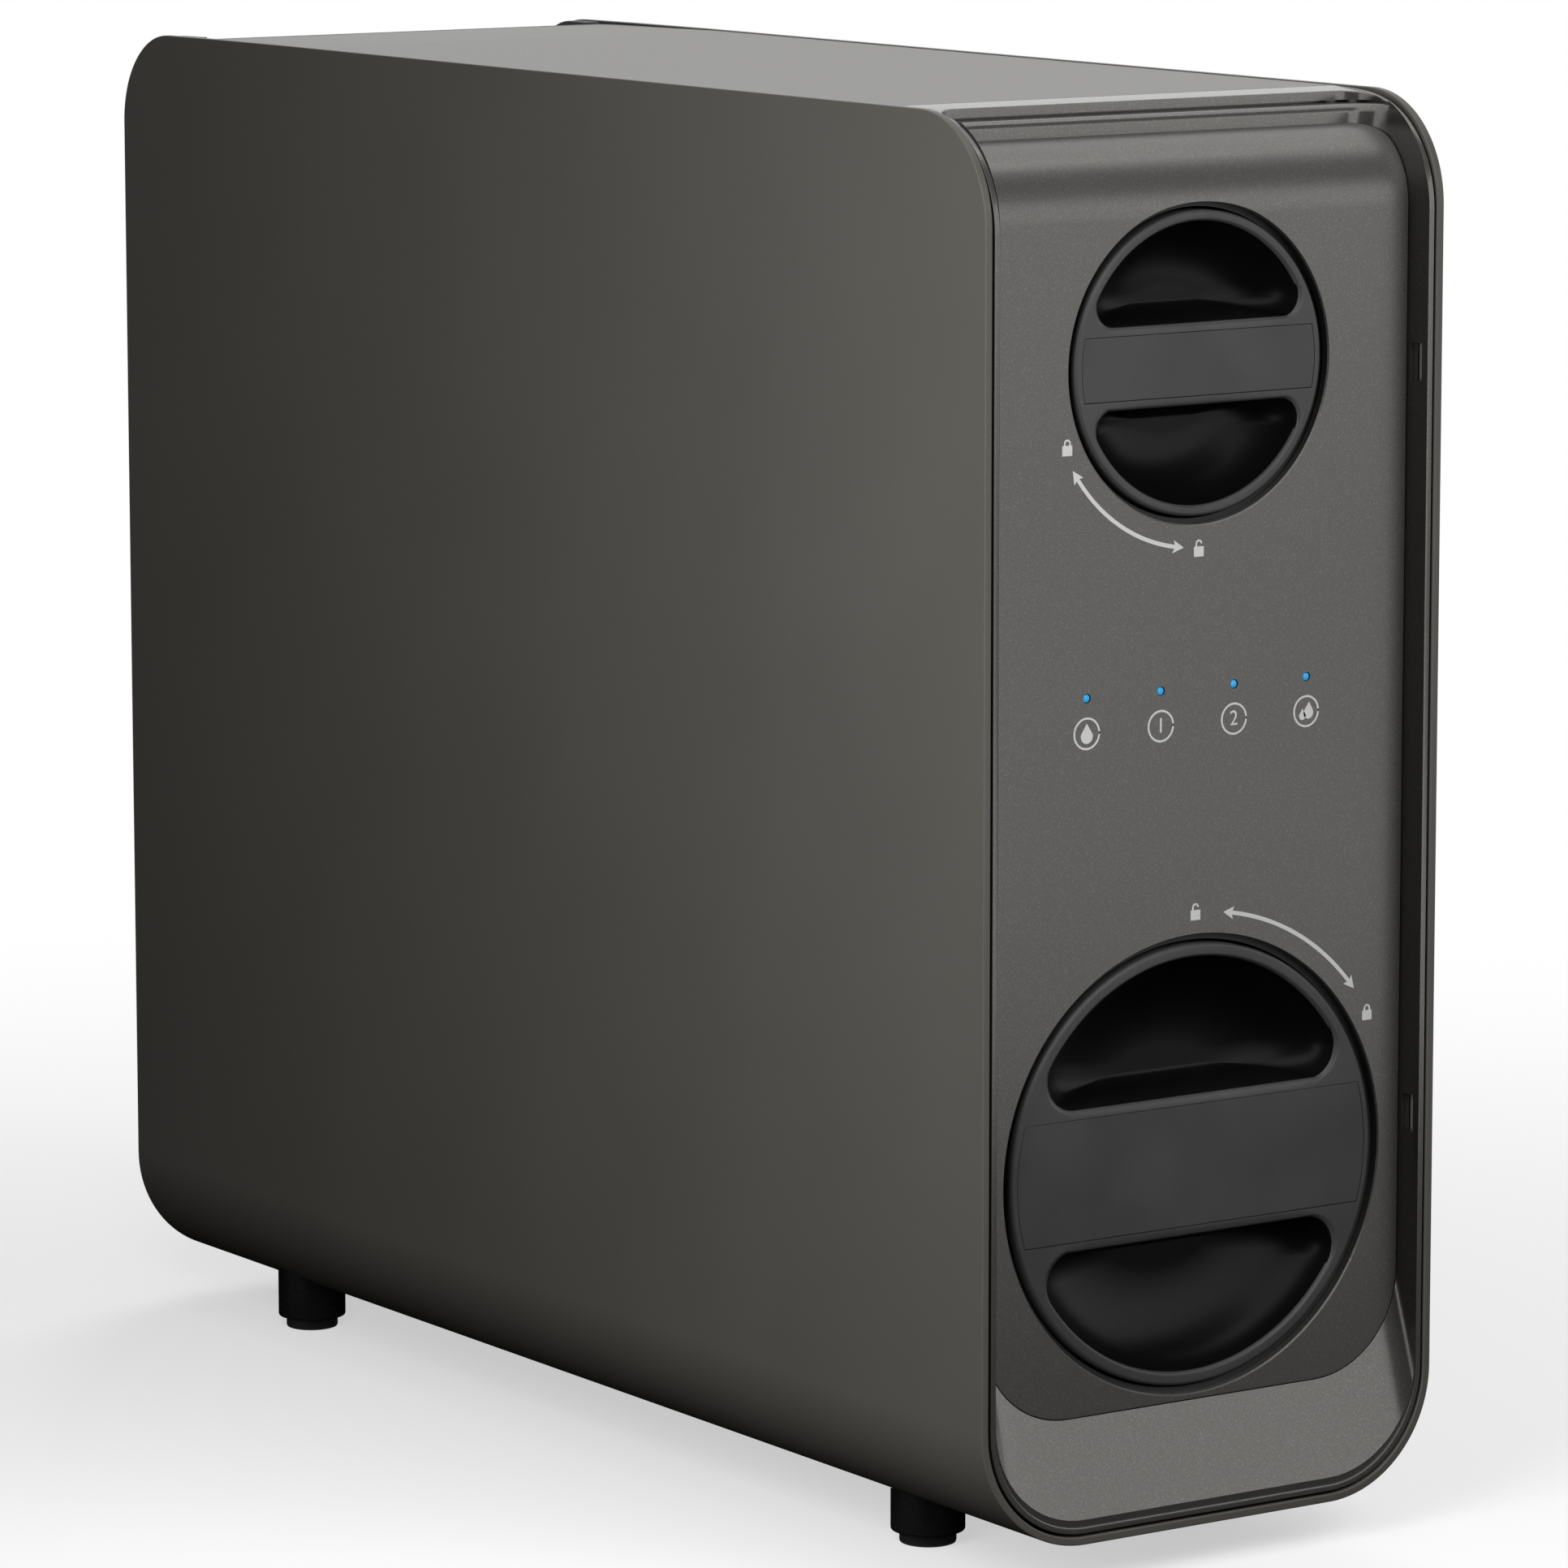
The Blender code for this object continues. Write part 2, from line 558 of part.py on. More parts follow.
def make_face_panel():
    layers = [face_layer(RECESS_DEPTH, SEAT_GAP), face_layer(PANEL_BACK, SEAT_GAP)]
    rows = recess_rows(layers, FRONT + BAR_SET_BACK - SEAT_GAP, BAR_CORNER_RADIUS - SEAT_GAP)
    panel = publish(loft(rows), "face_panel", FLAKE_PAINT)
    board_front = FRONT + BOARD_SET_BACK
    height = INDICATOR_Z
    for side in (-1, 1):
        place = (side * (BOARD_HALF - BOARD_BOSS_INSET), 0, height)
        boss = rod(BOARD_BOSS_RADIUS, FRONT + RECESS_DEPTH + SEAT_GAP, board_front - SEAT_GAP, place,
                   steps=SMALL_STEPS)
        combine(panel, boss, "UNION")
    for radius, axis_height in ((CARBON_CAP_RADIUS, CARBON_HEIGHT), (MEMBRANE_CAP_RADIUS, MEMBRANE_HEIGHT)):
        hole_end = FRONT + PANEL_BACK + LEDGE_WIDTH
        combine(panel, rod(radius + CAP_HOLE_GAP, FRONT, hole_end, (0, 0, axis_height), steps=WIDE_STEPS))
    for x in indicator_places():
        combine(panel, rod(PIPE_RADIUS + SEAT_GAP, FRONT, FRONT + LEDGE_BACK, (x, 0, height),
                           steps=TINY_STEPS))


def make_indicators():
    height = INDICATOR_Z
    board_front = FRONT + BOARD_SET_BACK
    flange_front = FRONT + PANEL_BACK + SEAT_GAP
    profile = [(0, FRONT + RECESS_DEPTH), (PIPE_RADIUS, FRONT + RECESS_DEPTH), (PIPE_RADIUS, flange_front)]
    profile += [(PIPE_FLANGE_RADIUS, flange_front), (PIPE_FLANGE_RADIUS, flange_front + PIPE_FLANGE_LENGTH)]
    profile += [(PIPE_RADIUS, flange_front + PIPE_FLANGE_LENGTH), (PIPE_RADIUS, board_front - SEAT_GAP)]
    profile += [(0, board_front - SEAT_GAP)]
    for number, x in enumerate(indicator_places(), 1):
        publish(turned(profile, steps=TINY_STEPS, place=(x, 0, height)), f"light_pipe_{number}", CLEAR_PIPE)
    low = (-BOARD_HALF, board_front, height - BOARD_HEIGHT / 2)
    high = (BOARD_HALF, board_front + BOARD_THICKNESS, height + BOARD_HEIGHT / 2)
    publish(block(low, high), "control_board", BOARD_GREEN)


def make_top_cover():
    half = HALF_WIDTH - SHELL_WALL - SEAT_GAP
    start = FRONT + SEAM_SET_BACK + SEAT_GAP
    end = REAR_PANEL_FRONT - SEAT_GAP
    top = TOP - COVER_SET_DOWN
    bend = REAR - REAR_FALL_LENGTH
    outside = [(start, top), (bend, top), (end, top - COVER_REAR_FALL)]
    inside = [(end - COVER_THICKNESS, top - COVER_REAR_FALL - COVER_THICKNESS), (bend, top - COVER_THICKNESS),
              (start + COVER_THICKNESS, top - COVER_THICKNESS)]
    rear_flange = [(end, top - COVER_FLANGE), (end - COVER_THICKNESS, top - COVER_FLANGE)]
    front_flange = [(start + COVER_THICKNESS, top - COVER_FLANGE), (start, top - COVER_FLANGE)]
    publish(prism(outside + rear_flange + inside + front_flange, "X", -half, half), "top_cover", SHELL_PAINT)


def port_places():
    return {"inlet": -PORT_PITCH, "drain": 0.0, "pure": PORT_PITCH}


def make_rear_panel():
    panel = publish(prism(u_outline(FRAME_INSET, TOP + CLEAR_OF_CASE), "Y", REAR_PANEL_FRONT, REAR),
                    "rear_panel", DARK_PLASTIC)
    combine(panel, prism(side_outline(RIM_SET_BACK), "X", -SHELL_WIDTH, SHELL_WIDTH), "INTERSECT")
    crown = TOP - COVER_SET_DOWN - COVER_REAR_FALL
    top_trim = block((-SHELL_WIDTH, REAR_PANEL_FRONT - SEAT_GAP, crown),
                     (SHELL_WIDTH, REAR_FACE, TOP + CLEAR_OF_CASE))
    combine(panel, top_trim)
    rows = []
    for i in range(ARC_STEPS + 2):
        turn = radians(90) * min(i, ARC_STEPS) / ARC_STEPS
        row = []
        layers = [(REAR + CLEAR_OF_CASE, 0.0, RIM_LOW), (REAR - RIM_SET_BACK, 0.0, RIM_LOW),
                  (REAR_FACE, REAR_RECESS_DRAFT, FLOOR + REAR_CHIN_HEIGHT)]
        for y, draft, low in layers:
            radius = RIM_RADIUS - draft
            z = low + radius * (1 - cos(turn)) if i <= ARC_STEPS else TOP + CLEAR_OF_CASE
            row.append((RIM_HALF - draft - radius + radius * sin(turn), y, z))
        rows.append(row + [(-x, y, z) for x, y, z in reversed(row)])
    combine(panel, loft(rows))
    for x in port_places().values():
        place = (x, 0, FLOOR + PORT_HEIGHT)
        combine(panel, rod(PORT_NECK_RADIUS + SEAT_GAP, REAR_PANEL_FRONT - REAR_WALL, REAR, place, steps=24))
    half_width = POWER_WIDTH / 2 + SEAT_GAP
    half_height = POWER_HEIGHT / 2 + SEAT_GAP
    middle = FLOOR + PORT_HEIGHT - POWER_DROP
    combine(panel, block((-half_width, REAR_PANEL_FRONT - REAR_WALL, middle - half_height),
                         (half_width, REAR, middle + half_height)))


def make_feet():
    clear_shell = u_outline(-SEAT_GAP, TOP)
    body_low = FOOT_PAD_SHOW
    seat = FOOT_PAD_SHOW + FOOT_PAD_SEAT
    body_top = FLOOR + SHELL_BOTTOM_RADIUS / 2
    profile = [(0, seat + SEAT_GAP), (FOOT_PAD_RADIUS + SEAT_GAP, seat + SEAT_GAP)]
    profile += [(FOOT_PAD_RADIUS + SEAT_GAP, body_low), (FOOT_RADIUS - CAP_EDGE / 2, body_low)]
    profile += [(FOOT_RADIUS, body_low + CAP_EDGE / 2), (FOOT_RADIUS, body_top), (0, body_top)]
    for end, inset, y in (("front", FRONT_FOOT_INSET, FRONT + FOOT_END_DISTANCE),
                          ("rear", REAR_FOOT_INSET, REAR - FOOT_END_DISTANCE)):
        for side, x in (("left", inset - HALF_WIDTH), ("right", HALF_WIDTH - inset)):
            body = turned(profile, "Z", steps=20, place=(x, y, 0))
            foot = publish(body, f"foot_{end}_{side}", BLACK_PLASTIC)
            combine(foot, prism(clear_shell, "Y", FRONT - CLEAR_OF_CASE, REAR + CLEAR_OF_CASE))
            pad = rod(FOOT_PAD_RADIUS, 0, seat, (x, y, 0), "Z", steps=20)
            publish(pad, f"foot_pad_{end}_{side}", RUBBER)


def chord_outline(radius, low, corner, steps=ARC_STEPS):
    """A half-moon: the part of a circle above z = low, with rounded ends."""
    reach = radius - corner
    rise = low + corner
    run = sqrt(reach * reach - rise * rise)
    lean = acos(run / reach) * 180 / pi
    right = arc(run, rise, corner, -90, lean, steps)
    crown = arc(0, 0, radius, lean, 180 - lean, 2 * steps)[1:-1]
    left = arc(-run, rise, corner, 180 - lean, 270, steps)
    return right + crown + left


def make_cap(name, radius, axis_height, bar_half, insert_half, corner):
    """A cartridge cap: a disc with two scooped pockets that leave a grip bar across the middle."""
    can_bore = can_sizes(name)["can"] - CAN_WALL
    plug = can_bore - SEAT_GAP
    profile = [(0, 0), (radius - CAP_EDGE, 0), (radius, CAP_EDGE), (radius, CAP_LENGTH), (plug, CAP_LENGTH)]
    profile += [(plug, CAP_LENGTH + CAP_PLUG_LENGTH), (0, CAP_LENGTH + CAP_PLUG_LENGTH)]
    centre = (0, CAP_FRONT, axis_height)
    cap = publish(turned(profile, steps=WIDE_STEPS), f"{name}_cap", BLACK_PLASTIC)
    ring = radius - CAP_RING_WIDTH
    for flip in (1, -1):
        rows = []
        for depth, inset in ((-CAP_EDGE, 0.0), (POCKET_DEPTH * 0.6, POCKET_TAPER * 0.25),
                             (POCKET_DEPTH, POCKET_TAPER)):
            outline = chord_outline(ring - inset, bar_half + inset, corner)
            rows.append([(x * flip, depth, z * flip) for x, z in outline])
        combine(cap, loft(rows))
    insert_reach = radius - INSERT_MARGIN
    combine(cap, prism(bar_outline(insert_reach, insert_half), "Y", -CAP_EDGE, INSERT_DEPTH))
    cap.location = centre
    plate = prism(bar_outline(insert_reach - SEAT_GAP, insert_half - SEAT_GAP), "Y", 0,
                  INSERT_DEPTH - SEAT_GAP)
    publish(plate, f"{name}_cap_insert", BLACK_PLASTIC, centre)


def bar_outline(reach, half):
    """A bar across a circle, with ends that follow it."""
    lean = acos(sqrt(reach * reach - half * half) / reach) * 180 / pi
    return arc(0, 0, reach, -lean, lean, 4) + arc(0, 0, reach, 180 - lean, 180 + lean, 4)


def can_sizes(name):
    """Radii and axis height of one cartridge."""
    if name == "carbon":
        return {"can": CARBON_CAN_RADIUS, "neck": CARBON_NECK_RADIUS, "cap": CARBON_CAP_RADIUS,
                "height": CARBON_HEIGHT, "stub": CARBON_STUB_OFFSET}
    return {"can": MEMBRANE_CAN_RADIUS, "neck": MEMBRANE_NECK_RADIUS, "cap": MEMBRANE_CAP_RADIUS,
            "height": MEMBRANE_HEIGHT, "stub": MEMBRANE_STUB_OFFSET}


def sleeve_front(crown):
    """Where a sleeve whose top reaches z = crown can start behind the curved face panel."""
    over = max(0, crown - (TOP - FRONT_CORNER_RADIUS))
    radius = FRONT_CORNER_RADIUS - PANEL_BACK
    return FRONT + FRONT_CORNER_RADIUS - sqrt(radius * radius - over * over) + SEAT_GAP


def neck_start():
    return HEAD_FRONT - SEAT_GAP - NECK_GAP * 5


def make_cartridge(name, media_finish):
    """The canister with its neck, the filter inside it and the seal on its neck."""
    size = can_sizes(name)
    centre = (0, 0, size["height"])
    front = CAP_BACK + SEAT_GAP
    shoulder = neck_start() - CAN_SHOULDER
    neck_end = neck_start() + NECK_LENGTH
    bore = size["can"] - CAN_WALL
    neck = size["neck"]
    groove = neck - 2 * RING_SECTION - NECK_GAP
    ring_middle = neck_end - 4 * RING_SECTION
    floor = shoulder - CAN_WALL
    profile = [(MEDIA_BORE_RADIUS, floor), (bore, floor), (bore, front), (size["can"], front)]
    profile += [(size["can"], shoulder), (neck + CAN_WALL, neck_start()), (neck, neck_start())]
    profile += [(neck, ring_middle - 2 * RING_SECTION), (groove, ring_middle - 2 * RING_SECTION)]
    profile += [(groove, ring_middle + 2 * RING_SECTION), (neck, ring_middle + 2 * RING_SECTION)]
    profile += [(neck, neck_end), (MEDIA_BORE_RADIUS, neck_end)]
    canister = publish(turned(profile, ring=True, steps=WIDE_STEPS), f"{name}_canister", WHITE_PLASTIC)
    lug_front = HEAD_FRONT + SEAT_GAP * 10
    for side in (-1, 1):
        inner = side * (neck - CAN_WALL)
        outer = side * (neck + LUG_REACH)
        low = (min(inner, outer), lug_front, -LUG_WIDTH / 2)
        high = (max(inner, outer), lug_front + LUG_LENGTH, LUG_WIDTH / 2)
        combine(canister, block(low, high), "UNION")
    canister.location = centre
    media_front = CAP_BACK + CAP_PLUG_LENGTH + SEAT_GAP
    media = [(MEDIA_BORE_RADIUS, media_front), (bore - MEDIA_GAP, media_front)]
    media += [(bore - MEDIA_GAP, floor - SEAT_GAP), (MEDIA_BORE_RADIUS, floor - SEAT_GAP)]
    media_name = {"carbon": "carbon_block", "membrane": "membrane_element"}[name]
    publish(turned(media, ring=True, steps=WIDE_STEPS), media_name, media_finish, centre)
    ring_radius = groove + SEAT_GAP + RING_SECTION
    circle = arc(ring_radius, ring_middle, RING_SECTION, 0, 360, 6)[:-1]
    publish(turned(circle, ring=True, steps=SMALL_STEPS), f"{name}_neck_seal", RUBBER, centre)


def make_sleeve_and_head(name, rotor_finish):
    """The sleeve that guides a cartridge, the head behind it and the valve rotor that its neck drives."""
    size = can_sizes(name)
    centre = (0, 0, size["height"])
    bore = size["cap"] + SLEEVE_GAP
    outer = bore + SLEEVE_WALL
    start = sleeve_front(size["height"] + outer)
    sleeve = [(bore, start), (outer, start), (outer, FRONT + SLEEVE_END), (bore, FRONT + SLEEVE_END)]
    publish(turned(sleeve, ring=True, steps=WIDE_STEPS), f"{name}_sleeve", DARK_PLASTIC, centre)
    rotor_bore = size["neck"] + NECK_GAP
    rotor_radius = rotor_bore + ROTOR_WALL
    rotor_front = HEAD_FRONT + SEAT_GAP * 4
    rotor_back = rotor_front + ROTOR_LENGTH
    rotor_floor = neck_start() + NECK_LENGTH + SEAT_GAP
    profile = [(0, rotor_floor), (rotor_bore, rotor_floor), (rotor_bore, rotor_front)]
    profile += [(rotor_radius, rotor_front), (rotor_radius, rotor_back), (0, rotor_back)]
    rotor = publish(turned(profile), f"{name}_valve_rotor", rotor_finish)
    slot_half = LUG_WIDTH / 2 + SEAT_GAP
    slot_reach = size["neck"] + LUG_REACH + SEAT_GAP
    slot_end = HEAD_FRONT + SEAT_GAP * 10 + LUG_LENGTH + SEAT_GAP
    combine(rotor, block((-slot_reach, HEAD_FRONT - SEAT_GAP, -slot_half), (slot_reach, slot_end, slot_half)))
    rotor.location = centre
    socket = rotor_radius + SEAT_GAP
    socket_end = rotor_back + SEAT_GAP
    body = [(0, socket_end), (socket, socket_end), (socket, HEAD_FRONT), (outer, HEAD_FRONT)]
    body += [(outer, HEAD_FRONT + HEAD_BACK_WALL), (socket + HEAD_BACK_WALL, HEAD_FRONT + HEAD_BACK_WALL * 2)]
    body += [(socket + HEAD_BACK_WALL, HEAD_BACK), (0, HEAD_BACK)]
    head = publish(turned(body, place=centre), f"{name}_head", WHITE_PLASTIC)
    stubs = [(-size["stub"], 0, size["height"]), (size["stub"], 0, size["height"])]
    if name == "membrane":
        stubs.append((0, 0, size["height"] + size["stub"]))
    for place in stubs:
        add_stub(head, place, HEAD_BACK)


def make_chassis():
    """Two bulkheads hold the sleeves, a tray cradles the lower one and a shelf cradles the pump."""
    cover_under = TOP - COVER_SET_DOWN - COVER_THICKNESS - SEAT_GAP
    outline = u_outline(SHELL_WALL + BULKHEAD_GAP, cover_under)
    front_start = FRONT + FRONT_BULKHEAD_SET_BACK
    rear_start = FRONT + REAR_BULKHEAD_SET_BACK
    for name, start in (("front_bulkhead", front_start), ("rear_bulkhead", rear_start)):
        plate = publish(prism(outline, "Y", start, start + BULKHEAD_THICKNESS), name, DARK_PLASTIC)
        for cartridge in ("carbon", "membrane"):
            size = can_sizes(cartridge)
            hole = size["cap"] + SLEEVE_GAP + SLEEVE_WALL + SEAT_GAP
            combine(plate, rod(hole, start - SLEEVE_WALL, start + BULKHEAD_THICKNESS + SLEEVE_WALL,
                               (0, 0, size["height"]), steps=WIDE_STEPS))
        if name == "rear_bulkhead":
            window = PUMP_HEAD_RADIUS + LEDGE_WIDTH
            combine(plate, block((-window, start - SLEEVE_WALL, PUMP_HEIGHT - window),
                                 (window, start + BULKHEAD_THICKNESS + SLEEVE_WALL, PUMP_HEIGHT + window)))
    tray_low = FLOOR + SHELL_WALL + SEAT_GAP
    tray_front = front_start + BULKHEAD_THICKNESS + SEAT_GAP
    tray_back = rear_start - SEAT_GAP
    tray_top = tray_low + TRAY_THICKNESS
    tray = publish(block((-TRAY_HALF, tray_front, tray_low), (TRAY_HALF, tray_back, tray_top)),
                   "base_tray", DARK_PLASTIC)
    pitch = (tray_back - tray_front) / TRAY_RIB_COUNT
    for i in range(TRAY_RIB_COUNT):
        middle = tray_front + pitch * (i + 0.5)
        rib_half = TRAY_RIB_THICKNESS / 2
        rib = block((-TRAY_HALF + SEAT_GAP, middle - rib_half, tray_low + TRAY_THICKNESS / 2),
                    (TRAY_HALF - SEAT_GAP, middle + rib_half, MEMBRANE_HEIGHT))
        combine(tray, rib, "UNION")
    sleeve_clear = MEMBRANE_CAP_RADIUS + SLEEVE_GAP + SLEEVE_WALL + SEAT_GAP
    combine(tray, rod(sleeve_clear, FRONT, REAR, (0, 0, MEMBRANE_HEIGHT), steps=WIDE_STEPS))
    sensor_middle = (0, tray_front + pitch, tray_top + SEAT_GAP)
    sensor = rod(LEAK_SENSOR_RADIUS, 0, LEAK_SENSOR_HEIGHT, sensor_middle, "Z", steps=SMALL_STEPS)
    publish(sensor, "leak_sensor", WHITE_PLASTIC)
    shelf_half = HALF_WIDTH - SHELL_WALL - BULKHEAD_GAP
    shelf_low = SHELF_LOW
    shelf_top = shelf_low + SHELF_THICKNESS
    cradle_top = PUMP_HEIGHT - MOTOR_RADIUS * CRADLE_SHARE
    section = [(-shelf_half, shelf_low - SHELF_LIP), (-shelf_half + SHELF_THICKNESS, shelf_low - SHELF_LIP),
               (-shelf_half + SHELF_THICKNESS, shelf_low), (shelf_half - SHELF_THICKNESS, shelf_low),
               (shelf_half - SHELF_THICKNESS, shelf_low - SHELF_LIP), (shelf_half, shelf_low - SHELF_LIP),
               (shelf_half, shelf_top), (-shelf_half, shelf_top)]
    shelf = publish(prism(section, "Y", tray_front, tray_back), "pump_shelf", STEEL)
    motor_start = FRONT + PUMP_START
    motor_end = motor_start + MOTOR_LENGTH
    for rib_start in (motor_start + CRADLE_INSET, motor_end - CRADLE_THICKNESS - CRADLE_INSET):
        rib = block((-CRADLE_WIDTH / 2, rib_start, shelf_top - SHELF_THICKNESS / 2),
                    (CRADLE_WIDTH / 2, rib_start + CRADLE_THICKNESS, cradle_top))
        combine(shelf, rib, "UNION")
    combine(shelf, rod(MOTOR_RADIUS + SEAT_GAP, motor_start - CRADLE_INSET, motor_end + CRADLE_INSET,
                       (0, 0, PUMP_HEIGHT)))


def make_pump():
    """A brushed motor drives an eccentric hub inside the pump's head."""
    centre = (0, 0, PUMP_HEIGHT)
    start = FRONT + PUMP_START
    motor_end = start + MOTOR_LENGTH
    head_start = motor_end + SEAT_GAP
    head_end = head_start + PUMP_HEAD_LENGTH
    shaft_bore = SHAFT_RADIUS + SEAT_GAP
    shaft_floor = motor_end - SHAFT_DEPTH
    boss = MOTOR_RADIUS / 3
    motor = [(0, start), (boss, start), (boss, start + HUB_THROW * 2)]
    motor += [(MOTOR_RADIUS - HUB_THROW, start + HUB_THROW * 2), (MOTOR_RADIUS, start + HUB_THROW * 3)]
    motor += [(MOTOR_RADIUS, motor_end), (shaft_bore, motor_end)]
    motor += [(shaft_bore, shaft_floor), (0, shaft_floor)]
    publish(turned(motor, place=centre), "pump_motor", STEEL)
    cavity_end = head_start + PUMP_CAVITY_DEPTH
    head = [(0, cavity_end), (PUMP_CAVITY_RADIUS, cavity_end), (PUMP_CAVITY_RADIUS, head_start)]
    head += [(PUMP_HEAD_RADIUS, head_start), (PUMP_HEAD_RADIUS, head_end - HUB_LENGTH)]
    head_rear = PUMP_HEAD_RADIUS - HUB_THROW * 2
    head += [(head_rear, head_end - HUB_LENGTH), (head_rear, head_end), (0, head_end)]
    pump_head = publish(turned(head, place=centre), "pump_head", BLACK_PLASTIC)
    for side in (-1, 1):
        add_stub(pump_head, (side * PUMP_STUB_OFFSET, 0, PUMP_HEIGHT), head_end)
    hub_start = head_start + HUB_THROW
    shaft = rod(SHAFT_RADIUS, shaft_floor + SEAT_GAP, hub_start + HUB_LENGTH + HUB_THROW, (0, 0, 0),
                steps=SMALL_STEPS)
    rotor = publish(shaft, "pump_eccentric", STEEL)
    combine(rotor, rod(HUB_RADIUS, hub_start, hub_start + HUB_LENGTH, (0, 0, -HUB_THROW), steps=24), "UNION")
    rotor.location = centre


def make_ports():
    """Push-fit ports through the rear panel, each with a release collet that slides in."""
    collet_bore = TUBE_RADIUS + SEAT_GAP / 2
    outer_end = REAR_FACE + SEAT_GAP + PORT_LENGTH
    inner_end = REAR_PANEL_FRONT - PORT_INNER_LENGTH
    socket_floor = outer_end - SOCKET_DEPTH
    seat = outer_end - COLLET_SLEEVE - SEAT_GAP - COLLET_TRAVEL
    flange = REAR_FACE + SEAT_GAP
    collet_hole = COLLET_RADIUS + SEAT_GAP
    body = [(STUB_BORE_RADIUS, inner_end), (PORT_NECK_RADIUS, inner_end), (PORT_NECK_RADIUS, flange)]
    body += [(PORT_RADIUS, flange), (PORT_RADIUS, outer_end), (collet_hole, outer_end), (collet_hole, seat)]
    body += [(TUBE_RADIUS, seat), (TUBE_RADIUS, socket_floor), (STUB_BORE_RADIUS, socket_floor)]
    flange_start = outer_end + COLLET_TRAVEL + SEAT_GAP
    ring = [(collet_bore, outer_end - COLLET_SLEEVE), (COLLET_RADIUS, outer_end - COLLET_SLEEVE)]
    ring += [(COLLET_RADIUS, flange_start), (COLLET_FLANGE_RADIUS, flange_start)]
    ring += [(COLLET_FLANGE_RADIUS, flange_start + COLLET_FLANGE)]
    ring += [(collet_bore, flange_start + COLLET_FLANGE)]
    for name, x in port_places().items():
        place = (x, 0, FLOOR + PORT_HEIGHT)
        publish(turned(body, ring=True, steps=SMALL_STEPS), f"{name}_port", WHITE_PLASTIC, place)
        publish(turned(ring, ring=True, steps=SMALL_STEPS), f"{name}_collet", BLUE_PLASTIC, place)


def make_power_socket():
    half_width = POWER_WIDTH / 2
    half_height = POWER_HEIGHT / 2
    middle = FLOOR + PORT_HEIGHT - POWER_DROP
    end = REAR_FACE + SEAT_GAP + POWER_FLANGE_THICKNESS
    body = block((-half_width, end - POWER_LENGTH, middle - half_height),
                 (half_width, end, middle + half_height))
    socket = publish(body, "power_socket", BLACK_PLASTIC)
    flange = block((-half_width - POWER_FLANGE, REAR_FACE + SEAT_GAP, middle - half_height - POWER_FLANGE),
                   (half_width + POWER_FLANGE, end, middle + half_height + POWER_FLANGE))
    combine(socket, flange, "UNION")
    hole_half = half_width - POWER_WALL
    hole_rise = half_height - POWER_WALL
    combine(socket, block((-hole_half, end - POWER_SOCKET_DEPTH, middle - hole_rise),
                          (hole_half, REAR, middle + hole_rise)))


def make_valves():
    """Two solenoid valves stand on the inner ends of the inlet and drain ports."""
    back = REAR_PANEL_FRONT - PORT_INNER_LENGTH - SEAT_GAP
    front = back - VALVE_LENGTH
    middle_z = FLOOR + PORT_HEIGHT
    coil_low = middle_z + VALVE_HEIGHT / 2
    coil_top = coil_low + COIL_HEIGHT
    bore_floor = coil_top - PLUNGER_BORE_DEPTH
    middle_y = (front + back) / 2
    for name, port in (("inlet", "inlet"), ("flush", "drain")):
        x = port_places()[port]
        half = VALVE_WIDTH / 2
        valve = publish(block((x - half, front, middle_z - VALVE_HEIGHT / 2), (x + half, back, coil_low)),
                        f"{name}_valve", WHITE_PLASTIC)
        combine(valve, rod(COIL_RADIUS, middle_z, coil_top, (x, middle_y, 0), "Z", steps=20), "UNION")
        combine(valve, rod(PLUNGER_RADIUS + SEAT_GAP, bore_floor, TOP, (x, middle_y, 0), "Z",
                           steps=SMALL_STEPS))
        if name == "inlet":
            add_stub(valve, (x, 0, middle_z), front, -1)
        else:
            add_stub(valve, (x, middle_y, 0), middle_z - VALVE_HEIGHT / 2, -1, "Z")
        plunger = rod(PLUNGER_RADIUS, 0, PLUNGER_LENGTH, (0, 0, 0), "Z", steps=SMALL_STEPS)
        publish(plunger, f"{name}_valve_plunger", STEEL, (x, middle_y, bore_floor + SEAT_GAP))


def make_sensors():
    probe = rod(PROBE_RADIUS, HEAD_BACK + SEAT_GAP, HEAD_BACK + SEAT_GAP + PROBE_LENGTH,
                (0, 0, CARBON_HEIGHT - PROBE_DROP), steps=SMALL_STEPS)
    publish(probe, "water_probe", BLACK_PLASTIC)
    switch = rod(SWITCH_RADIUS, HEAD_BACK + SEAT_GAP, HEAD_BACK + SEAT_GAP + SWITCH_LENGTH,
                 (0, 0, MEMBRANE_HEIGHT - SWITCH_DROP), steps=SMALL_STEPS)
    publish(switch, "pressure_switch", BRASS)


def smooth_route(points, per_span=4):
    """A straight run at each end and a smooth curve through the points between them."""
    route = [points[0]]
    for before, start, end, after in zip(points, points[1:], points[2:], points[3:]):
        for i in range(per_span):
            t = i / per_span
            pull = (end - before) * t + (before * 2 - start * 5 + end * 4 - after) * t * t
            pull += (start * 3 - before - end * 3 + after) * t * t * t
            route.append(start + pull / 2)
    return route + points[-2:]


def make_tube(name, points):
    curve = bpy.data.curves.new(name, "CURVE")
    curve.dimensions = "3D"
    curve.bevel_depth = TUBE_RADIUS
    curve.bevel_resolution = 1
    curve.use_fill_caps = True
    route = smooth_route([Vector(point) for point in points])
    spline = curve.splines.new("POLY")
    spline.points.add(len(route) - 1)
    for spot, point in zip(spline.points, route):
        spot.co = (*point, 1)
    curve.materials.append(TUBE)
    tube = bpy.data.objects.new(name, curve)
    bpy.context.collection.objects.link(tube)


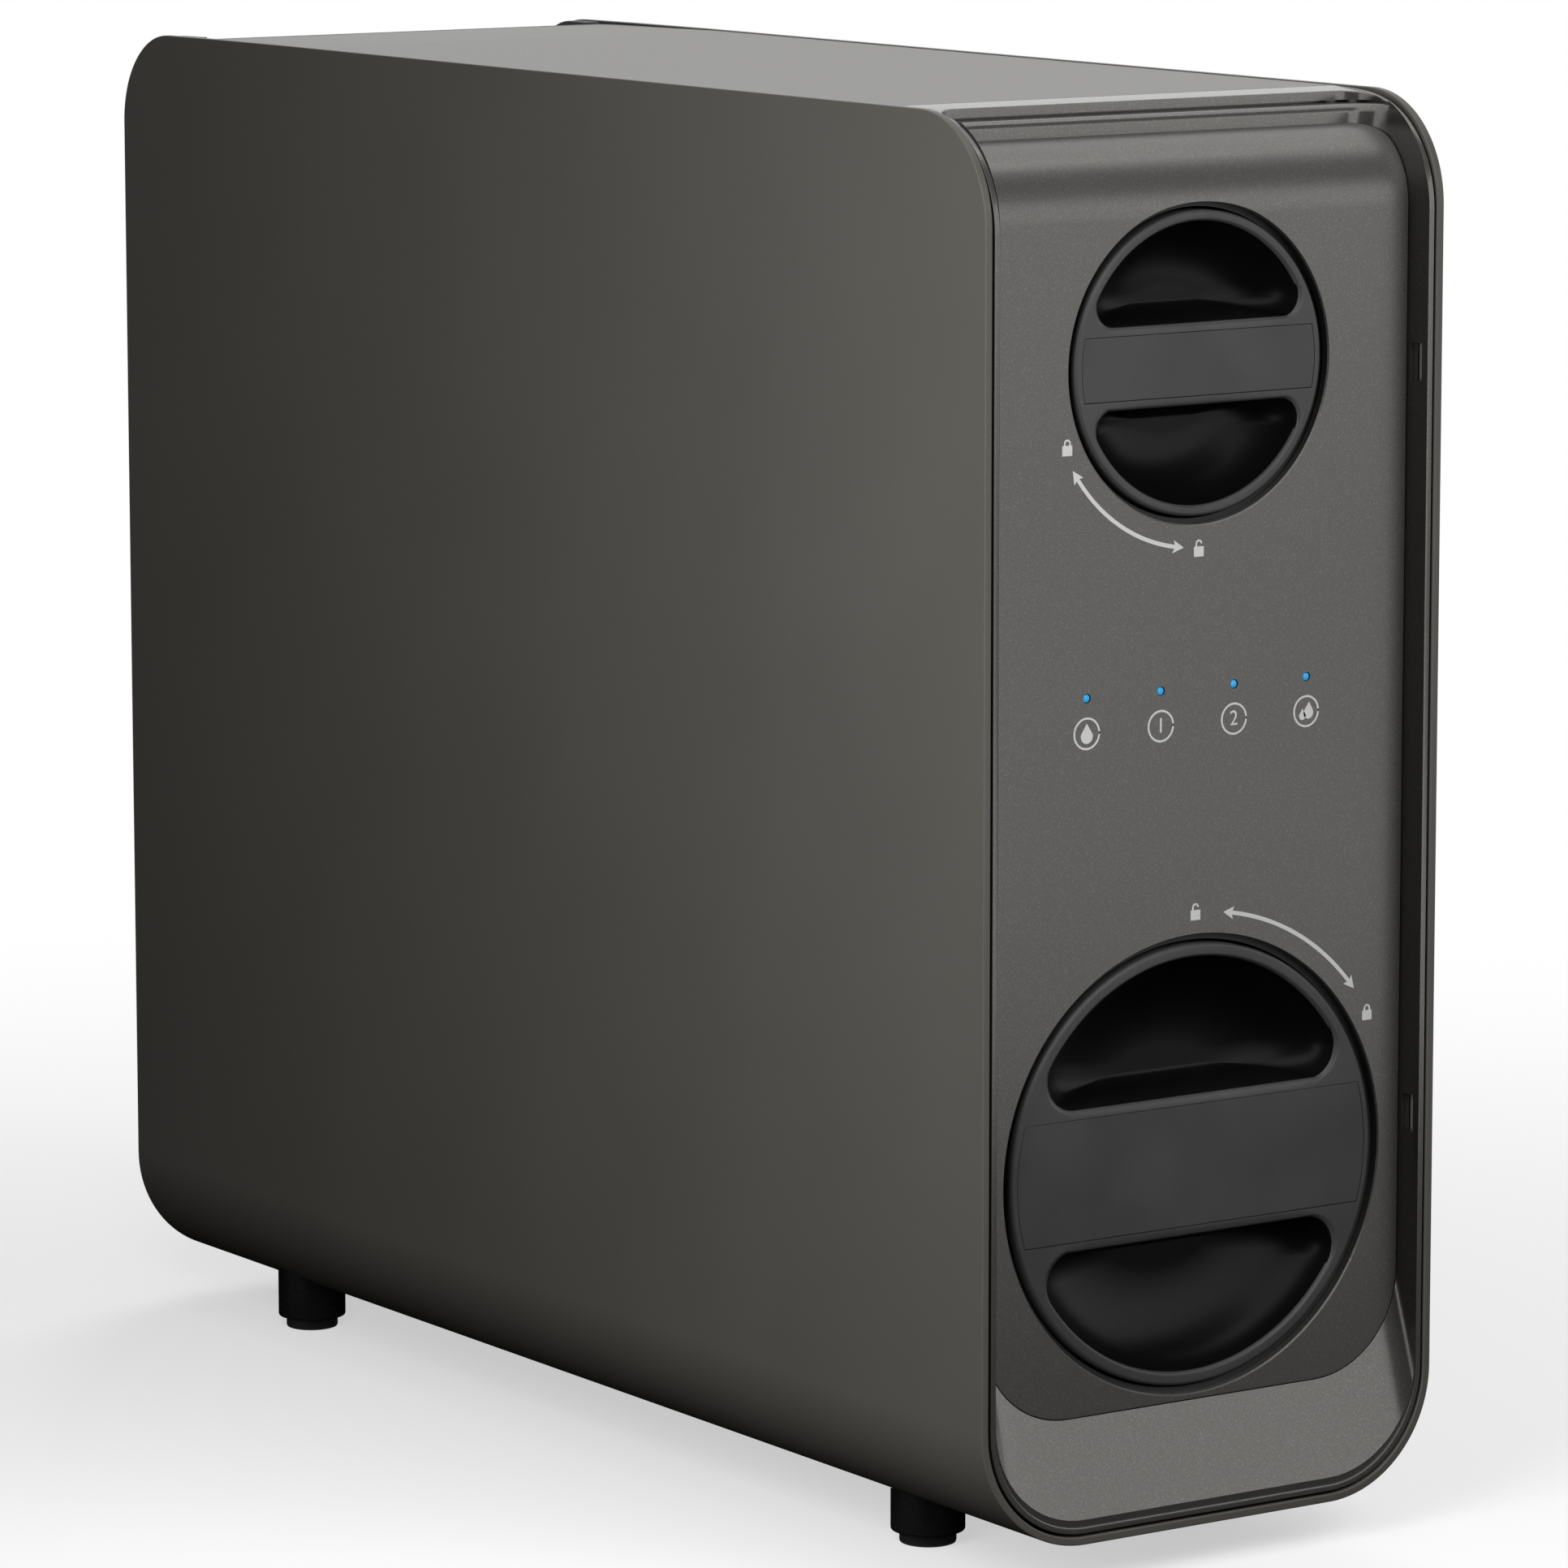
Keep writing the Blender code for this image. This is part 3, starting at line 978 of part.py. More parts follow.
def make_tubes():
    """The inner tubes, each from one stub to the next with a short straight run at both ends."""
    stub_end = HEAD_BACK + STUB_LENGTH + SEAT_GAP
    pump_end = FRONT + PUMP_START + MOTOR_LENGTH + SEAT_GAP + PUMP_HEAD_LENGTH + STUB_LENGTH + SEAT_GAP
    valve_front = REAR_PANEL_FRONT - PORT_INNER_LENGTH - SEAT_GAP - VALVE_LENGTH - STUB_LENGTH - SEAT_GAP
    port_inner = REAR_PANEL_FRONT - PORT_INNER_LENGTH - SEAT_GAP
    port_z = FLOOR + PORT_HEIGHT
    run = TUBE_RADIUS * 3
    out = TUBE_RADIUS * 7
    carbon_x = CARBON_STUB_OFFSET
    membrane_x = MEMBRANE_STUB_OFFSET
    pump_x = PUMP_STUB_OFFSET
    rise = CARBON_HEIGHT - port_z
    make_tube("feed_tube", [(-PORT_PITCH, valve_front, port_z), (-PORT_PITCH, valve_front - run, port_z),
                            (-PORT_PITCH, valve_front - run, port_z + rise * 0.3),
                            (-PORT_PITCH, stub_end + run, port_z + rise * 0.65),
                            (-carbon_x, stub_end + out, CARBON_HEIGHT),
                            (-carbon_x, stub_end + run, CARBON_HEIGHT),
                            (-carbon_x, stub_end, CARBON_HEIGHT)])
    fall = CARBON_HEIGHT - PUMP_HEIGHT
    make_tube("pump_feed_tube", [(carbon_x, stub_end, CARBON_HEIGHT),
                                 (carbon_x, stub_end + run, CARBON_HEIGHT),
                                 (carbon_x, stub_end + out, CARBON_HEIGHT - fall * 0.2),
                                 (carbon_x, stub_end + run, CARBON_HEIGHT - fall * 0.75),
                                 (pump_x, pump_end + out, PUMP_HEIGHT), (pump_x, pump_end + run, PUMP_HEIGHT),
                                 (pump_x, pump_end, PUMP_HEIGHT)])
    drop = PUMP_HEIGHT - MEMBRANE_HEIGHT
    make_tube("pressure_tube", [(-pump_x, pump_end, PUMP_HEIGHT), (-pump_x, pump_end + run, PUMP_HEIGHT),
                                (-pump_x, pump_end + out, PUMP_HEIGHT - run),
                                (-pump_x - TUBE_RADIUS, pump_end + out * 1.5, PUMP_HEIGHT - drop * 0.45),
                                (-membrane_x, stub_end + out, MEMBRANE_HEIGHT),
                                (-membrane_x, stub_end + run, MEMBRANE_HEIGHT),
                                (-membrane_x, stub_end, MEMBRANE_HEIGHT)])
    make_tube("pure_tube", [(membrane_x, stub_end, MEMBRANE_HEIGHT),
                            (membrane_x, stub_end + run, MEMBRANE_HEIGHT),
                            (PORT_PITCH, port_inner - out, (port_z + MEMBRANE_HEIGHT) / 2),
                            (PORT_PITCH, port_inner - out, port_z - run),
                            (PORT_PITCH, port_inner - run, port_z), (PORT_PITCH, port_inner, port_z)])
    waste_z = MEMBRANE_HEIGHT + MEMBRANE_STUB_OFFSET
    valve_y = port_inner - VALVE_LENGTH / 2
    under = port_z - VALVE_HEIGHT / 2 - STUB_LENGTH - SEAT_GAP
    bend = (valve_y - stub_end) * 0.3
    make_tube("drain_tube", [(0, stub_end, waste_z), (0, stub_end + run, waste_z),
                             (0, valve_y - bend, waste_z + bend), (0, valve_y, under - TUBE_RADIUS),
                             (0, valve_y, under)])


def parent_moving_pieces():
    """Give each cartridge an empty on its turning axis that carries its pieces."""
    groups = {"carbon": ("carbon_cap", "carbon_cap_insert", "carbon_canister", "carbon_block",
                         "carbon_neck_seal"),
              "membrane": ("membrane_cap", "membrane_cap_insert", "membrane_canister", "membrane_element",
                           "membrane_neck_seal")}
    for name, pieces in groups.items():
        axis = bpy.data.objects.new(f"{name}_axis", None)
        axis.location = (0, CAP_FRONT, can_sizes(name)["height"])
        bpy.context.collection.objects.link(axis)
        bpy.context.view_layer.update()
        for piece in pieces:
            thing = bpy.data.objects[piece]
            thing.parent = axis
            thing.matrix_parent_inverse = axis.matrix_world.inverted()


make_shell()
make_front_frame()
make_face_panel()
make_indicators()
make_top_cover()
make_rear_panel()
make_feet()
make_cap("carbon", CARBON_CAP_RADIUS, CARBON_HEIGHT, CARBON_BAR_HALF, CARBON_INSERT_HALF,
         CARBON_POCKET_CORNER)
make_cap("membrane", MEMBRANE_CAP_RADIUS, MEMBRANE_HEIGHT, MEMBRANE_BAR_HALF, MEMBRANE_INSERT_HALF,
         MEMBRANE_POCKET_CORNER)
make_cartridge("carbon", CARBON)
make_cartridge("membrane", MEMBRANE)
make_sleeve_and_head("carbon", BLUE_PLASTIC)
make_sleeve_and_head("membrane", BLUE_PLASTIC)
make_chassis()
make_pump()
make_ports()
make_power_socket()
make_valves()
make_sensors()
make_tubes()
parent_moving_pieces()
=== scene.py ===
# %% [markdown]
# A water purifier that stands under a kitchen sink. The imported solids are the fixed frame: every new
# piece below is modelled in the same metres, takes the place of its solid and rides on its body.

# %% Load the frame
from math import acos, atan2, cos, hypot, pi, radians, sin, sqrt

import bmesh
import bpy
from mathutils import Matrix, Vector


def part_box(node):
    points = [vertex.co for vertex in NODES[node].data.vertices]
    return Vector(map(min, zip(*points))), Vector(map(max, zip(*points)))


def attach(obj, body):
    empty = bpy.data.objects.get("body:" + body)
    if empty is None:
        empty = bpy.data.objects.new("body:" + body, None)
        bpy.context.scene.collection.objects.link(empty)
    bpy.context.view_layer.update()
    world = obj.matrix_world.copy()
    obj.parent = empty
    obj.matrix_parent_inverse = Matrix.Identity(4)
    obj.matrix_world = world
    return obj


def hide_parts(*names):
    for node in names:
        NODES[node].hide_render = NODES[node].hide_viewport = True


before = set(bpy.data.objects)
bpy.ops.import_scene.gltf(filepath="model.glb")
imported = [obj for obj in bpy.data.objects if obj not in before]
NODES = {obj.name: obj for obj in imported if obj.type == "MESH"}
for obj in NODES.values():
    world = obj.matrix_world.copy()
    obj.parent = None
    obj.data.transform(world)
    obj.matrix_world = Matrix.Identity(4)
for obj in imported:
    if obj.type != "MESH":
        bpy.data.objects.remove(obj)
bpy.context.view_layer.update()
scene = bpy.context.scene
scene.view_settings.view_transform = "Standard"
MM = 0.001

# %% [markdown]
# The camera comes first, so that every piece can be judged in the photograph's own view. It stands well
# back to the front left with a long lens, which keeps the case's edges almost parallel.

# %% Camera
CAMERA_PLACE = (-1.2262057, -1.8376583, 0.5301626)
CAMERA_RIGHT = (0.828739, -0.559635, -0.000616)
CAMERA_UP = (0.087279, 0.128160, 0.987906)
CAMERA_BACK = (-0.552787, -0.818770, 0.155055)
camera = bpy.data.objects.new("camera", bpy.data.cameras.new("camera"))
camera.data.lens = 178.0
camera.data.sensor_width = 36.0
turn = Matrix((CAMERA_RIGHT, CAMERA_UP, CAMERA_BACK)).transposed()
camera.matrix_world = Matrix.Translation(CAMERA_PLACE) @ turn.to_4x4()
scene.collection.objects.link(camera)
scene.camera = camera
print("camera:", [round(v, 3) for v in camera.location])

# %% [markdown]
# The studio is a pale floor in a white room. A low softbox at the left gives the long fade along the case's
# side, a wide one lights the top, a fill lights the front and one behind keeps the far sides readable. These
# four only light the object; the small strip is the one lamp that dark surfaces mirror. The room is white
# where it is seen or mirrored, and dim as a light, so that the dark paint keeps its depth.

# %% Studio
AMBIENT = 0.03
KEY_WATTS = 3.6
TOP_WATTS = 5.0
STRIP_WATTS = 0.5
REAR_WATTS = 11.0
FILL_WATTS = 6.0


def aimed(place, target, axis):
    """A placing whose named axis points at a target."""
    turn = (Vector(target) - Vector(place)).to_track_quat(axis, "Y")
    return Matrix.Translation(place) @ turn.to_matrix().to_4x4()


def soft_box(name, place, target, width, height, watts, mirrored=True):
    lamp = bpy.data.lights.new(name, "AREA")
    lamp.shape = "RECTANGLE"
    lamp.size, lamp.size_y, lamp.energy = width, height, watts
    box = bpy.data.objects.new(name, lamp)
    box.matrix_world = aimed(place, target, "-Z")
    box.visible_glossy = mirrored
    scene.collection.objects.link(box)


def add_node(tree, kind, values=()):
    """A shader node with some of its inputs set."""
    node = tree.nodes.new("ShaderNode" + kind)
    for name, value in dict(values).items():
        node.inputs[name].default_value = value
    return node


def link_all(tree, *pairs):
    for source, target in pairs:
        tree.links.new(source, target)


def seen_or_mirrored(tree):
    """1 for camera, glossy and transmission rays, 0 for the rays that carry light."""
    path = add_node(tree, "LightPath")
    total = path.outputs["Is Camera Ray"]
    for name in ("Is Glossy Ray", "Is Transmission Ray"):
        add = add_node(tree, "Math")
        add.operation = "MAXIMUM"
        link_all(tree, (total, add.inputs[0]), (path.outputs[name], add.inputs[1]))
        total = add.outputs[0]
    return total


def light_room():
    world = bpy.data.worlds.new("white_room")
    scene.world = world
    world.use_nodes = True
    tree = world.node_tree
    tree.nodes.clear()
    dim = add_node(tree, "Background", {"Color": (1, 1, 1, 1), "Strength": AMBIENT})
    white = add_node(tree, "Background", {"Color": (1, 1, 1, 1)})
    mix = add_node(tree, "MixShader")
    out = add_node(tree, "OutputWorld")
    link_all(tree, (seen_or_mirrored(tree), mix.inputs["Fac"]), (dim.outputs[0], mix.inputs[1]),
             (white.outputs[0], mix.inputs[2]), (mix.outputs[0], out.inputs["Surface"]))


light_room()
soft_box("key_light", (-0.46, -0.40, 0.34), (-0.07, -0.20, 0.22), 0.3, 0.5, KEY_WATTS, False)
soft_box("top_light", (-0.1, 0.1, 1.5), (0, 0, 0.3), 1.2, 1.2, TOP_WATTS, False)
soft_box("rear_light", (0.95, 0.95, 0.75), (0.05, 0.1, 0.2), 0.8, 0.8, REAR_WATTS, False)
soft_box("fill_light", (0.20, -0.95, 0.78), (0, -0.22, 0.25), 0.5, 0.5, FILL_WATTS, False)
soft_box("strip_light", (0.85, -0.42, 1.5), (0, -0.22, 0.3), 0.3, 0.6, STRIP_WATTS)
print("lights:", [lamp.name for lamp in bpy.data.lights])

# %% [markdown]
# Every finish is a small node graph on Object coordinates, so it holds still on the piece from any side.
# One helper starts a finish with its shader; others add speckle, cloudiness and a fine moulded or sprayed
# skin. Numbers that are the same all over go straight on the shader's sockets.

# %% Finish helpers
NOISE_SPAN = (0.3, 0.7)


def new_finish(name, colour, roughness, metallic=0.0, specular=0.5):
    finish = bpy.data.materials.new(name)
    finish.use_nodes = True
    shader = finish.node_tree.nodes["Principled BSDF"]
    for socket, value in (("Base Color", (*colour, 1)), ("Roughness", roughness), ("Metallic", metallic),
                          ("Specular IOR Level", specular)):
        shader.inputs[socket].default_value = value
    return finish, finish.node_tree, shader


def object_noise(tree, scale, detail=2.0, stretch=(1, 1, 1)):
    """Cloudy noise in object space; scale is waves per metre."""
    where = add_node(tree, "TexCoord")
    mapping = add_node(tree, "Mapping", {"Scale": stretch})
    noise = add_node(tree, "TexNoise", {"Scale": scale, "Detail": detail})
    link_all(tree, (where.outputs["Object"], mapping.inputs["Vector"]),
             (mapping.outputs["Vector"], noise.inputs["Vector"]))
    return noise.outputs["Fac"]


def vary_colour(tree, shader, pattern, dark, light):
    """Runs the base colour from dark to light along a pattern."""
    ramp = add_node(tree, "ValToRGB")
    for stop, place, colour in zip(ramp.color_ramp.elements, NOISE_SPAN, (dark, light)):
        stop.position, stop.color = place, (*colour, 1)
    link_all(tree, (pattern, ramp.inputs["Fac"]), (ramp.outputs["Color"], shader.inputs["Base Color"]))


def vary_roughness(tree, shader, pattern, low, high):
    spread = add_node(tree, "MapRange", {"From Min": NOISE_SPAN[0], "From Max": NOISE_SPAN[1], "To Min": low,
                                         "To Max": high})
    link_all(tree, (pattern, spread.inputs["Value"]), (spread.outputs["Result"], shader.inputs["Roughness"]))


def skin(tree, shader, pattern, height, strength=0.3):
    """A raised and sunk surface; height is in metres."""
    bump = add_node(tree, "Bump", {"Strength": strength, "Distance": height})
    link_all(tree, (pattern, bump.inputs["Height"]), (bump.outputs["Normal"], shader.inputs["Normal"]))


def moulded(name, colour, roughness, spread=0.15, grain=2200, height=0.00002, specular=0.5):
    """A moulded plastic: slightly cloudy, with a fine spark-eroded skin."""
    finish, tree, shader = new_finish(name, colour, roughness, specular=specular)
    cloud = object_noise(tree, 45, 3)
    vary_colour(tree, shader, cloud, [c * (1 - spread) for c in colour], [c * (1 + spread) for c in colour])
    fine = object_noise(tree, grain, 2)
    vary_roughness(tree, shader, fine, roughness - 0.05, roughness + 0.05)
    skin(tree, shader, fine, height)
    return finish


# %% [markdown]
# Two paints make the look. The case is sprayed a warm grey with a low satin sheen. The frame and face carry
# a half-metallic coat: cells of about a fifth of a millimetre, of which the few brightest show as flakes.
# The frame's coat is smoother than the face's, so that its recess walls mirror and stay dark.

# %% Paints


def case_paint():
    finish, tree, shader = new_finish("warm_grey_paint", (0.080, 0.076, 0.068), 0.34, specular=0.30)
    cloud = object_noise(tree, 14, 3)
    vary_colour(tree, shader, cloud, (0.077, 0.073, 0.065), (0.083, 0.079, 0.071))
    peel = object_noise(tree, 1600, 2)
    vary_roughness(tree, shader, peel, 0.32, 0.37)
    skin(tree, shader, peel, 0.000012, 0.2)
    return finish


FLAKE_BASE, FLAKE_BRIGHT = (0.185, 0.181, 0.172), (0.270, 0.265, 0.254)
FLAKES_PER_METRE = 4600
FLAKE_SHARE = 0.20


def flake_paint(name, roughness):
    finish, tree, shader = new_finish(name, FLAKE_BASE, roughness, metallic=0.6, specular=0.3)
    where = add_node(tree, "TexCoord")
    flakes = add_node(tree, "TexVoronoi", {"Scale": FLAKES_PER_METRE})
    split = add_node(tree, "SeparateColor")
    glint = add_node(tree, "MapRange", {"From Min": 1 - FLAKE_SHARE, "From Max": 1.0})
    link_all(tree, (where.outputs["Object"], flakes.inputs["Vector"]),
             (flakes.outputs["Color"], split.inputs["Color"]), (split.outputs["Red"], glint.inputs["Value"]))
    vary_colour(tree, shader, glint.outputs["Result"], FLAKE_BASE, FLAKE_BRIGHT)
    vary_roughness(tree, shader, split.outputs["Green"], roughness, roughness + 0.03)
    skin(tree, shader, glint.outputs["Result"], 0.000006, 0.10)
    return finish


CASE_PAINT = case_paint()
FLAKE_PAINT = flake_paint("grey_flake_paint", 0.30)
RIM_PAINT = flake_paint("grey_rim_paint", 0.19)
print("paints:", CASE_PAINT.name, FLAKE_PAINT.name, RIM_PAINT.name)

# %% [markdown]
# The moulded plastics: satin black for the caps, feet and socket, dark grey inside and at the back, white
# for whatever touches water, blue for the release collars. Rubber is duller and rougher than any of them.

# %% Plastics and rubber
CAP_BLACK = moulded("cap_black", (0.040, 0.040, 0.0405), 0.36, grain=3000)
# The pocket finish is far darker than the caps' own black, with less sheen: painted shade for the deep
# pockets.
POCKET_PAINTED_SHADE = moulded("pocket_painted_shade", (0.0022, 0.0022, 0.0023), 0.33, height=0.000008, specular=0.24)
PLATE_BLACK = moulded("plate_black", (0.037, 0.037, 0.0375), 0.38, grain=3000)
FOOT_BLACK = moulded("foot_black", (0.006, 0.0062, 0.006), 0.27)
DARK_GREY = moulded("dark_grey_moulding", (0.028, 0.028, 0.029), 0.52, grain=1400, height=0.00004)
WATER_WHITE = moulded("water_white", (0.78, 0.78, 0.76), 0.34, spread=0.02)
COLLET_BLUE = moulded("collet_blue", (0.03, 0.16, 0.50), 0.34, spread=0.08)
RUBBER = moulded("foot_rubber", (0.010, 0.010, 0.010), 0.62, grain=900, height=0.00006)
print("plastics:", CAP_BLACK.name, DARK_GREY.name, WATER_WHITE.name, COLLET_BLUE.name, RUBBER.name)

# %% [markdown]
# Inside there is steel, brass, a circuit board, pressed carbon, a wound membrane and milky tube. They show
# only when a cartridge is drawn out or the case is cut open, but each still has its own surface.

# %% Inner finishes


def brushed(name, colour, roughness, stretch):
    """Metal with fine lines along one axis."""
    finish, tree, shader = new_finish(name, colour, roughness, metallic=1.0)
    lines = object_noise(tree, 60, 4, stretch)
    vary_colour(tree, shader, lines, [c * 0.88 for c in colour], [min(1, c * 1.08) for c in colour])
    vary_roughness(tree, shader, lines, roughness - 0.08, roughness + 0.10)
    skin(tree, shader, lines, 0.00002, 0.2)
    return finish


def grained(name, colour, roughness, noise, dark, light, height, strength):
    """A matt stuff whose colour and relief follow one noise: scale, detail and stretch."""
    finish, tree, shader = new_finish(name, colour, roughness)
    pattern = object_noise(tree, *noise)
    vary_colour(tree, shader, pattern, dark, light)
    skin(tree, shader, pattern, height, strength)
    return finish


def tube_finish():
    finish, tree, shader = new_finish("milky_tube", (0.80, 0.81, 0.80), 0.30)
    cloud = object_noise(tree, 120, 2)
    vary_colour(tree, shader, cloud, (0.74, 0.75, 0.74), (0.84, 0.85, 0.84))
    shader.inputs["Subsurface Weight"].default_value = 0.2
    shader.inputs["Subsurface Radius"].default_value = (0.002, 0.002, 0.002)
    return finish


STEEL = brushed("zinc_steel", (0.62, 0.62, 0.60), 0.36, (1, 0.05, 1))
BRASS = brushed("turned_brass", (0.72, 0.52, 0.24), 0.30, (1, 1, 0.05))
CARBON = grained("pressed_carbon", (0.012, 0.012, 0.012), 0.85, (1800, 4), (0.006, 0.006, 0.006),
                 (0.022, 0.022, 0.022), 0.00025, 0.7)
MEMBRANE = grained("wound_membrane", (0.72, 0.74, 0.76), 0.55, (400, 2, (1, 0.3, 1)), (0.62, 0.65, 0.68),
                   (0.80, 0.81, 0.82), 0.0002, 0.4)
BOARD = grained("board_green", (0.012, 0.10, 0.045), 0.32, (260, 0, (1, 1, 0.2)), (0.008, 0.075, 0.032),
                (0.018, 0.14, 0.065), 0.00004, 0.4)
TUBE = tube_finish()
print("inside:", STEEL.name, BRASS.name, CARBON.name, MEMBRANE.name, BOARD.name, TUBE.name)

# %% [markdown]
# A lit indicator is a clear rod with a blue lamp behind it: it glows a little more in the middle than at
# its rim. The print on the face is a thin pale grey ink, very slightly uneven.

# %% Light and ink


def glow_finish():
    finish, tree, shader = new_finish("lit_blue_pipe", (0.02, 0.20, 0.42), 0.18)
    cloud = object_noise(tree, 900, 1)
    vary_colour(tree, shader, cloud, (0.015, 0.17, 0.38), (0.03, 0.24, 0.48))
    shader.inputs["Emission Color"].default_value = (0.02, 0.28, 0.55, 1)
    shader.inputs["Emission Strength"].default_value = 0.55
    return finish


GLOW = glow_finish()
INK = moulded("pale_ink", (0.55, 0.55, 0.54), 0.5, spread=0.03, grain=3000, height=0.000004)
print("light and ink:", GLOW.name, INK.name)

# %% [markdown]
# A few helpers serve every piece. `mm` turns millimetres into metres, `pull` extrudes, `block` makes a box.
# `settle` turns a bmesh into an object: doubles merged, normals outwards, smooth with its sharp edges
# marked, riding on its body in place of its solid. `soften` adds a small live bevel and weighted normals,
# which is what stops an edge from looking like a computer's.

# %% Piece helpers
FRONT, REAR = -0.225, 0.225
FLOOR, TOP = 0.012, 0.392
SHARP_ANGLE = 35
made = []


def mm(points):
    return [tuple(value * MM for value in point) for point in points]


def pull(bm, vec, keep=False):
    """Extrudes every face along a vector."""
    grown = bmesh.ops.extrude_face_region(bm, geom=bm.faces[:], use_keep_orig=keep)
    moved = [item for item in grown["geom"] if isinstance(item, bmesh.types.BMVert)]
    bmesh.ops.translate(bm, vec=vec, verts=moved)
    return bm


def block(size, centre):
    bm = bmesh.new()
    bmesh.ops.create_cube(bm, size=1.0)
    bmesh.ops.scale(bm, vec=size, verts=bm.verts)
    bmesh.ops.translate(bm, vec=centre, verts=bm.verts)
    return bm


def settle(bm, name, body, finish, nodes=(), sharp=SHARP_ANGLE):
    bmesh.ops.remove_doubles(bm, verts=bm.verts, dist=1e-6)
    bmesh.ops.recalc_face_normals(bm, faces=bm.faces)
    mesh = bpy.data.meshes.new(name)
    bm.to_mesh(mesh)
    bm.free()
    mesh.shade_smooth()
    mesh.set_sharp_from_angle(angle=radians(sharp))
    mesh.materials.append(finish)
    piece = bpy.data.objects.new(name, mesh)
    scene.collection.objects.link(piece)
    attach(piece, body)
    if nodes:
        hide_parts(*nodes)
    made.append(name)
    return piece


def weigh(piece):
    """Weighted normals, so that flat faces look flat beside small round ones."""
    piece.modifiers.new("flat_faces_flat", "WEIGHTED_NORMAL").keep_sharp = True
    return piece


def soften(piece, width, segments=3, angle=SHARP_ANGLE):
    edge = piece.modifiers.new("rounded_edges", "BEVEL")
    edge.width, edge.segments = width, segments
    edge.limit_method, edge.angle_limit = "ANGLE", radians(angle)
    return weigh(piece)


def carve(piece, tool_bm, operation="DIFFERENCE"):
    """Cuts or joins a bmesh shape and keeps the result as the piece's mesh."""
    bmesh.ops.remove_doubles(tool_bm, verts=tool_bm.verts, dist=1e-7)
    bmesh.ops.recalc_face_normals(tool_bm, faces=tool_bm.faces)
    mesh = bpy.data.meshes.new("tool")
    tool_bm.to_mesh(mesh)
    tool_bm.free()
    tool = bpy.data.objects.new("tool", mesh)
    scene.collection.objects.link(tool)
    step = piece.modifiers.new("carve", "BOOLEAN")
    step.operation, step.solver, step.object = operation, "EXACT", tool
    bpy.context.view_layer.update()
    graph = bpy.context.evaluated_depsgraph_get()
    result = bpy.data.meshes.new_from_object(piece.evaluated_get(graph))
    piece.modifiers.clear()
    piece.data = result
    bpy.data.objects.remove(tool, do_unlink=True)
    result.shade_smooth()
    result.set_sharp_from_angle(angle=radians(SHARP_ANGLE))


# %% [markdown]
# The shell is one sheet folded into a U. Its flat pattern is a rectangle with rounded corners: rounding a
# corner is a vertex bevel. The sheet is cut across finely where it will bend, folded round the two lower
# corners, and only then given its thickness.

# %% Outer shell
WALL = 2.2 * MM
HALF = 75 * MM
FOLD = 34 * MM
SIDE_RUN = TOP - FLOOR - FOLD
FLOOR_RUN = 2 * (HALF - FOLD)
FOLD_RUN = FOLD * pi / 2
SHEET_RUN = 2 * SIDE_RUN + 2 * FOLD_RUN + FLOOR_RUN


def round_corner(bm, vert, radius, segments):
    bmesh.ops.bevel(bm, geom=[vert], offset=radius, offset_type="OFFSET", segments=segments,
                    profile=0.5, affect="VERTICES", material=-1)


def cut_across(bm, places, axis):
    """Cuts the whole mesh with planes square to an axis."""
    normal = Vector([1 if i == axis else 0 for i in range(3)])
    for place in places:
        geom = bm.verts[:] + bm.edges[:] + bm.faces[:]
        bmesh.ops.bisect_plane(bm, geom=geom, plane_co=normal * place, plane_no=normal, dist=1e-7)


def fold(run):
    """Where a point of the flat sheet comes to lie: down the left, along the floor, up the right."""
    if run > SHEET_RUN / 2:
        x, z = fold(SHEET_RUN - run)
        return -x, z
    if run <= SIDE_RUN:
        return -HALF, TOP - run
    if run <= SIDE_RUN + FOLD_RUN:
        angle = (run - SIDE_RUN) / FOLD
        return -HALF + FOLD * (1 - cos(angle)), FLOOR + FOLD * (1 - sin(angle))
    return -HALF + FOLD + run - SIDE_RUN - FOLD_RUN, FLOOR


def make_shell():
    bm = bmesh.new()
    fall, fall_start = 0.7 * MM, REAR - 75 * MM
    flat = [(0, FRONT), (SHEET_RUN, FRONT), (SHEET_RUN, fall_start), (SHEET_RUN - fall, REAR), (fall, REAR),
            (0, fall_start)]
    corners = [bm.verts.new((run, y, 0)) for run, y in flat]
    bm.faces.new(corners)
    for vert, radius in ((corners[0], 30 * MM), (corners[1], 30 * MM), (corners[3], 27 * MM),
                         (corners[4], 27 * MM)):
        round_corner(bm, vert, radius, 24)
    for vert in (corners[2], corners[5]):
        round_corner(bm, vert, 20 * MM, 6)
    bends = [SIDE_RUN + FOLD_RUN * i / 24 for i in range(25)]
    cut_across(bm, bends + [SHEET_RUN - bend for bend in bends], 0)
    for vert in bm.verts:
        x, z = fold(vert.co.x)
        vert.co = (x, vert.co.y, z)
    shell = settle(bm, "shell", "casing", CASE_PAINT, ["outer_shell"])
    thick = shell.modifiers.new("sheet_thickness", "SOLIDIFY")
    thick.thickness, thick.offset = WALL, -1
    thick.use_even_offset = True
    return soften(shell, 0.35 * MM)


make_shell()
print("made:", made[-1])

# %% [markdown]
# The top cover is a thin lid that sits a hair below the shell's edges. Its long section is drawn once, its
# slow fall to the rear is eased with a wide vertex bevel, and it is extruded across the case.

# %% Top cover


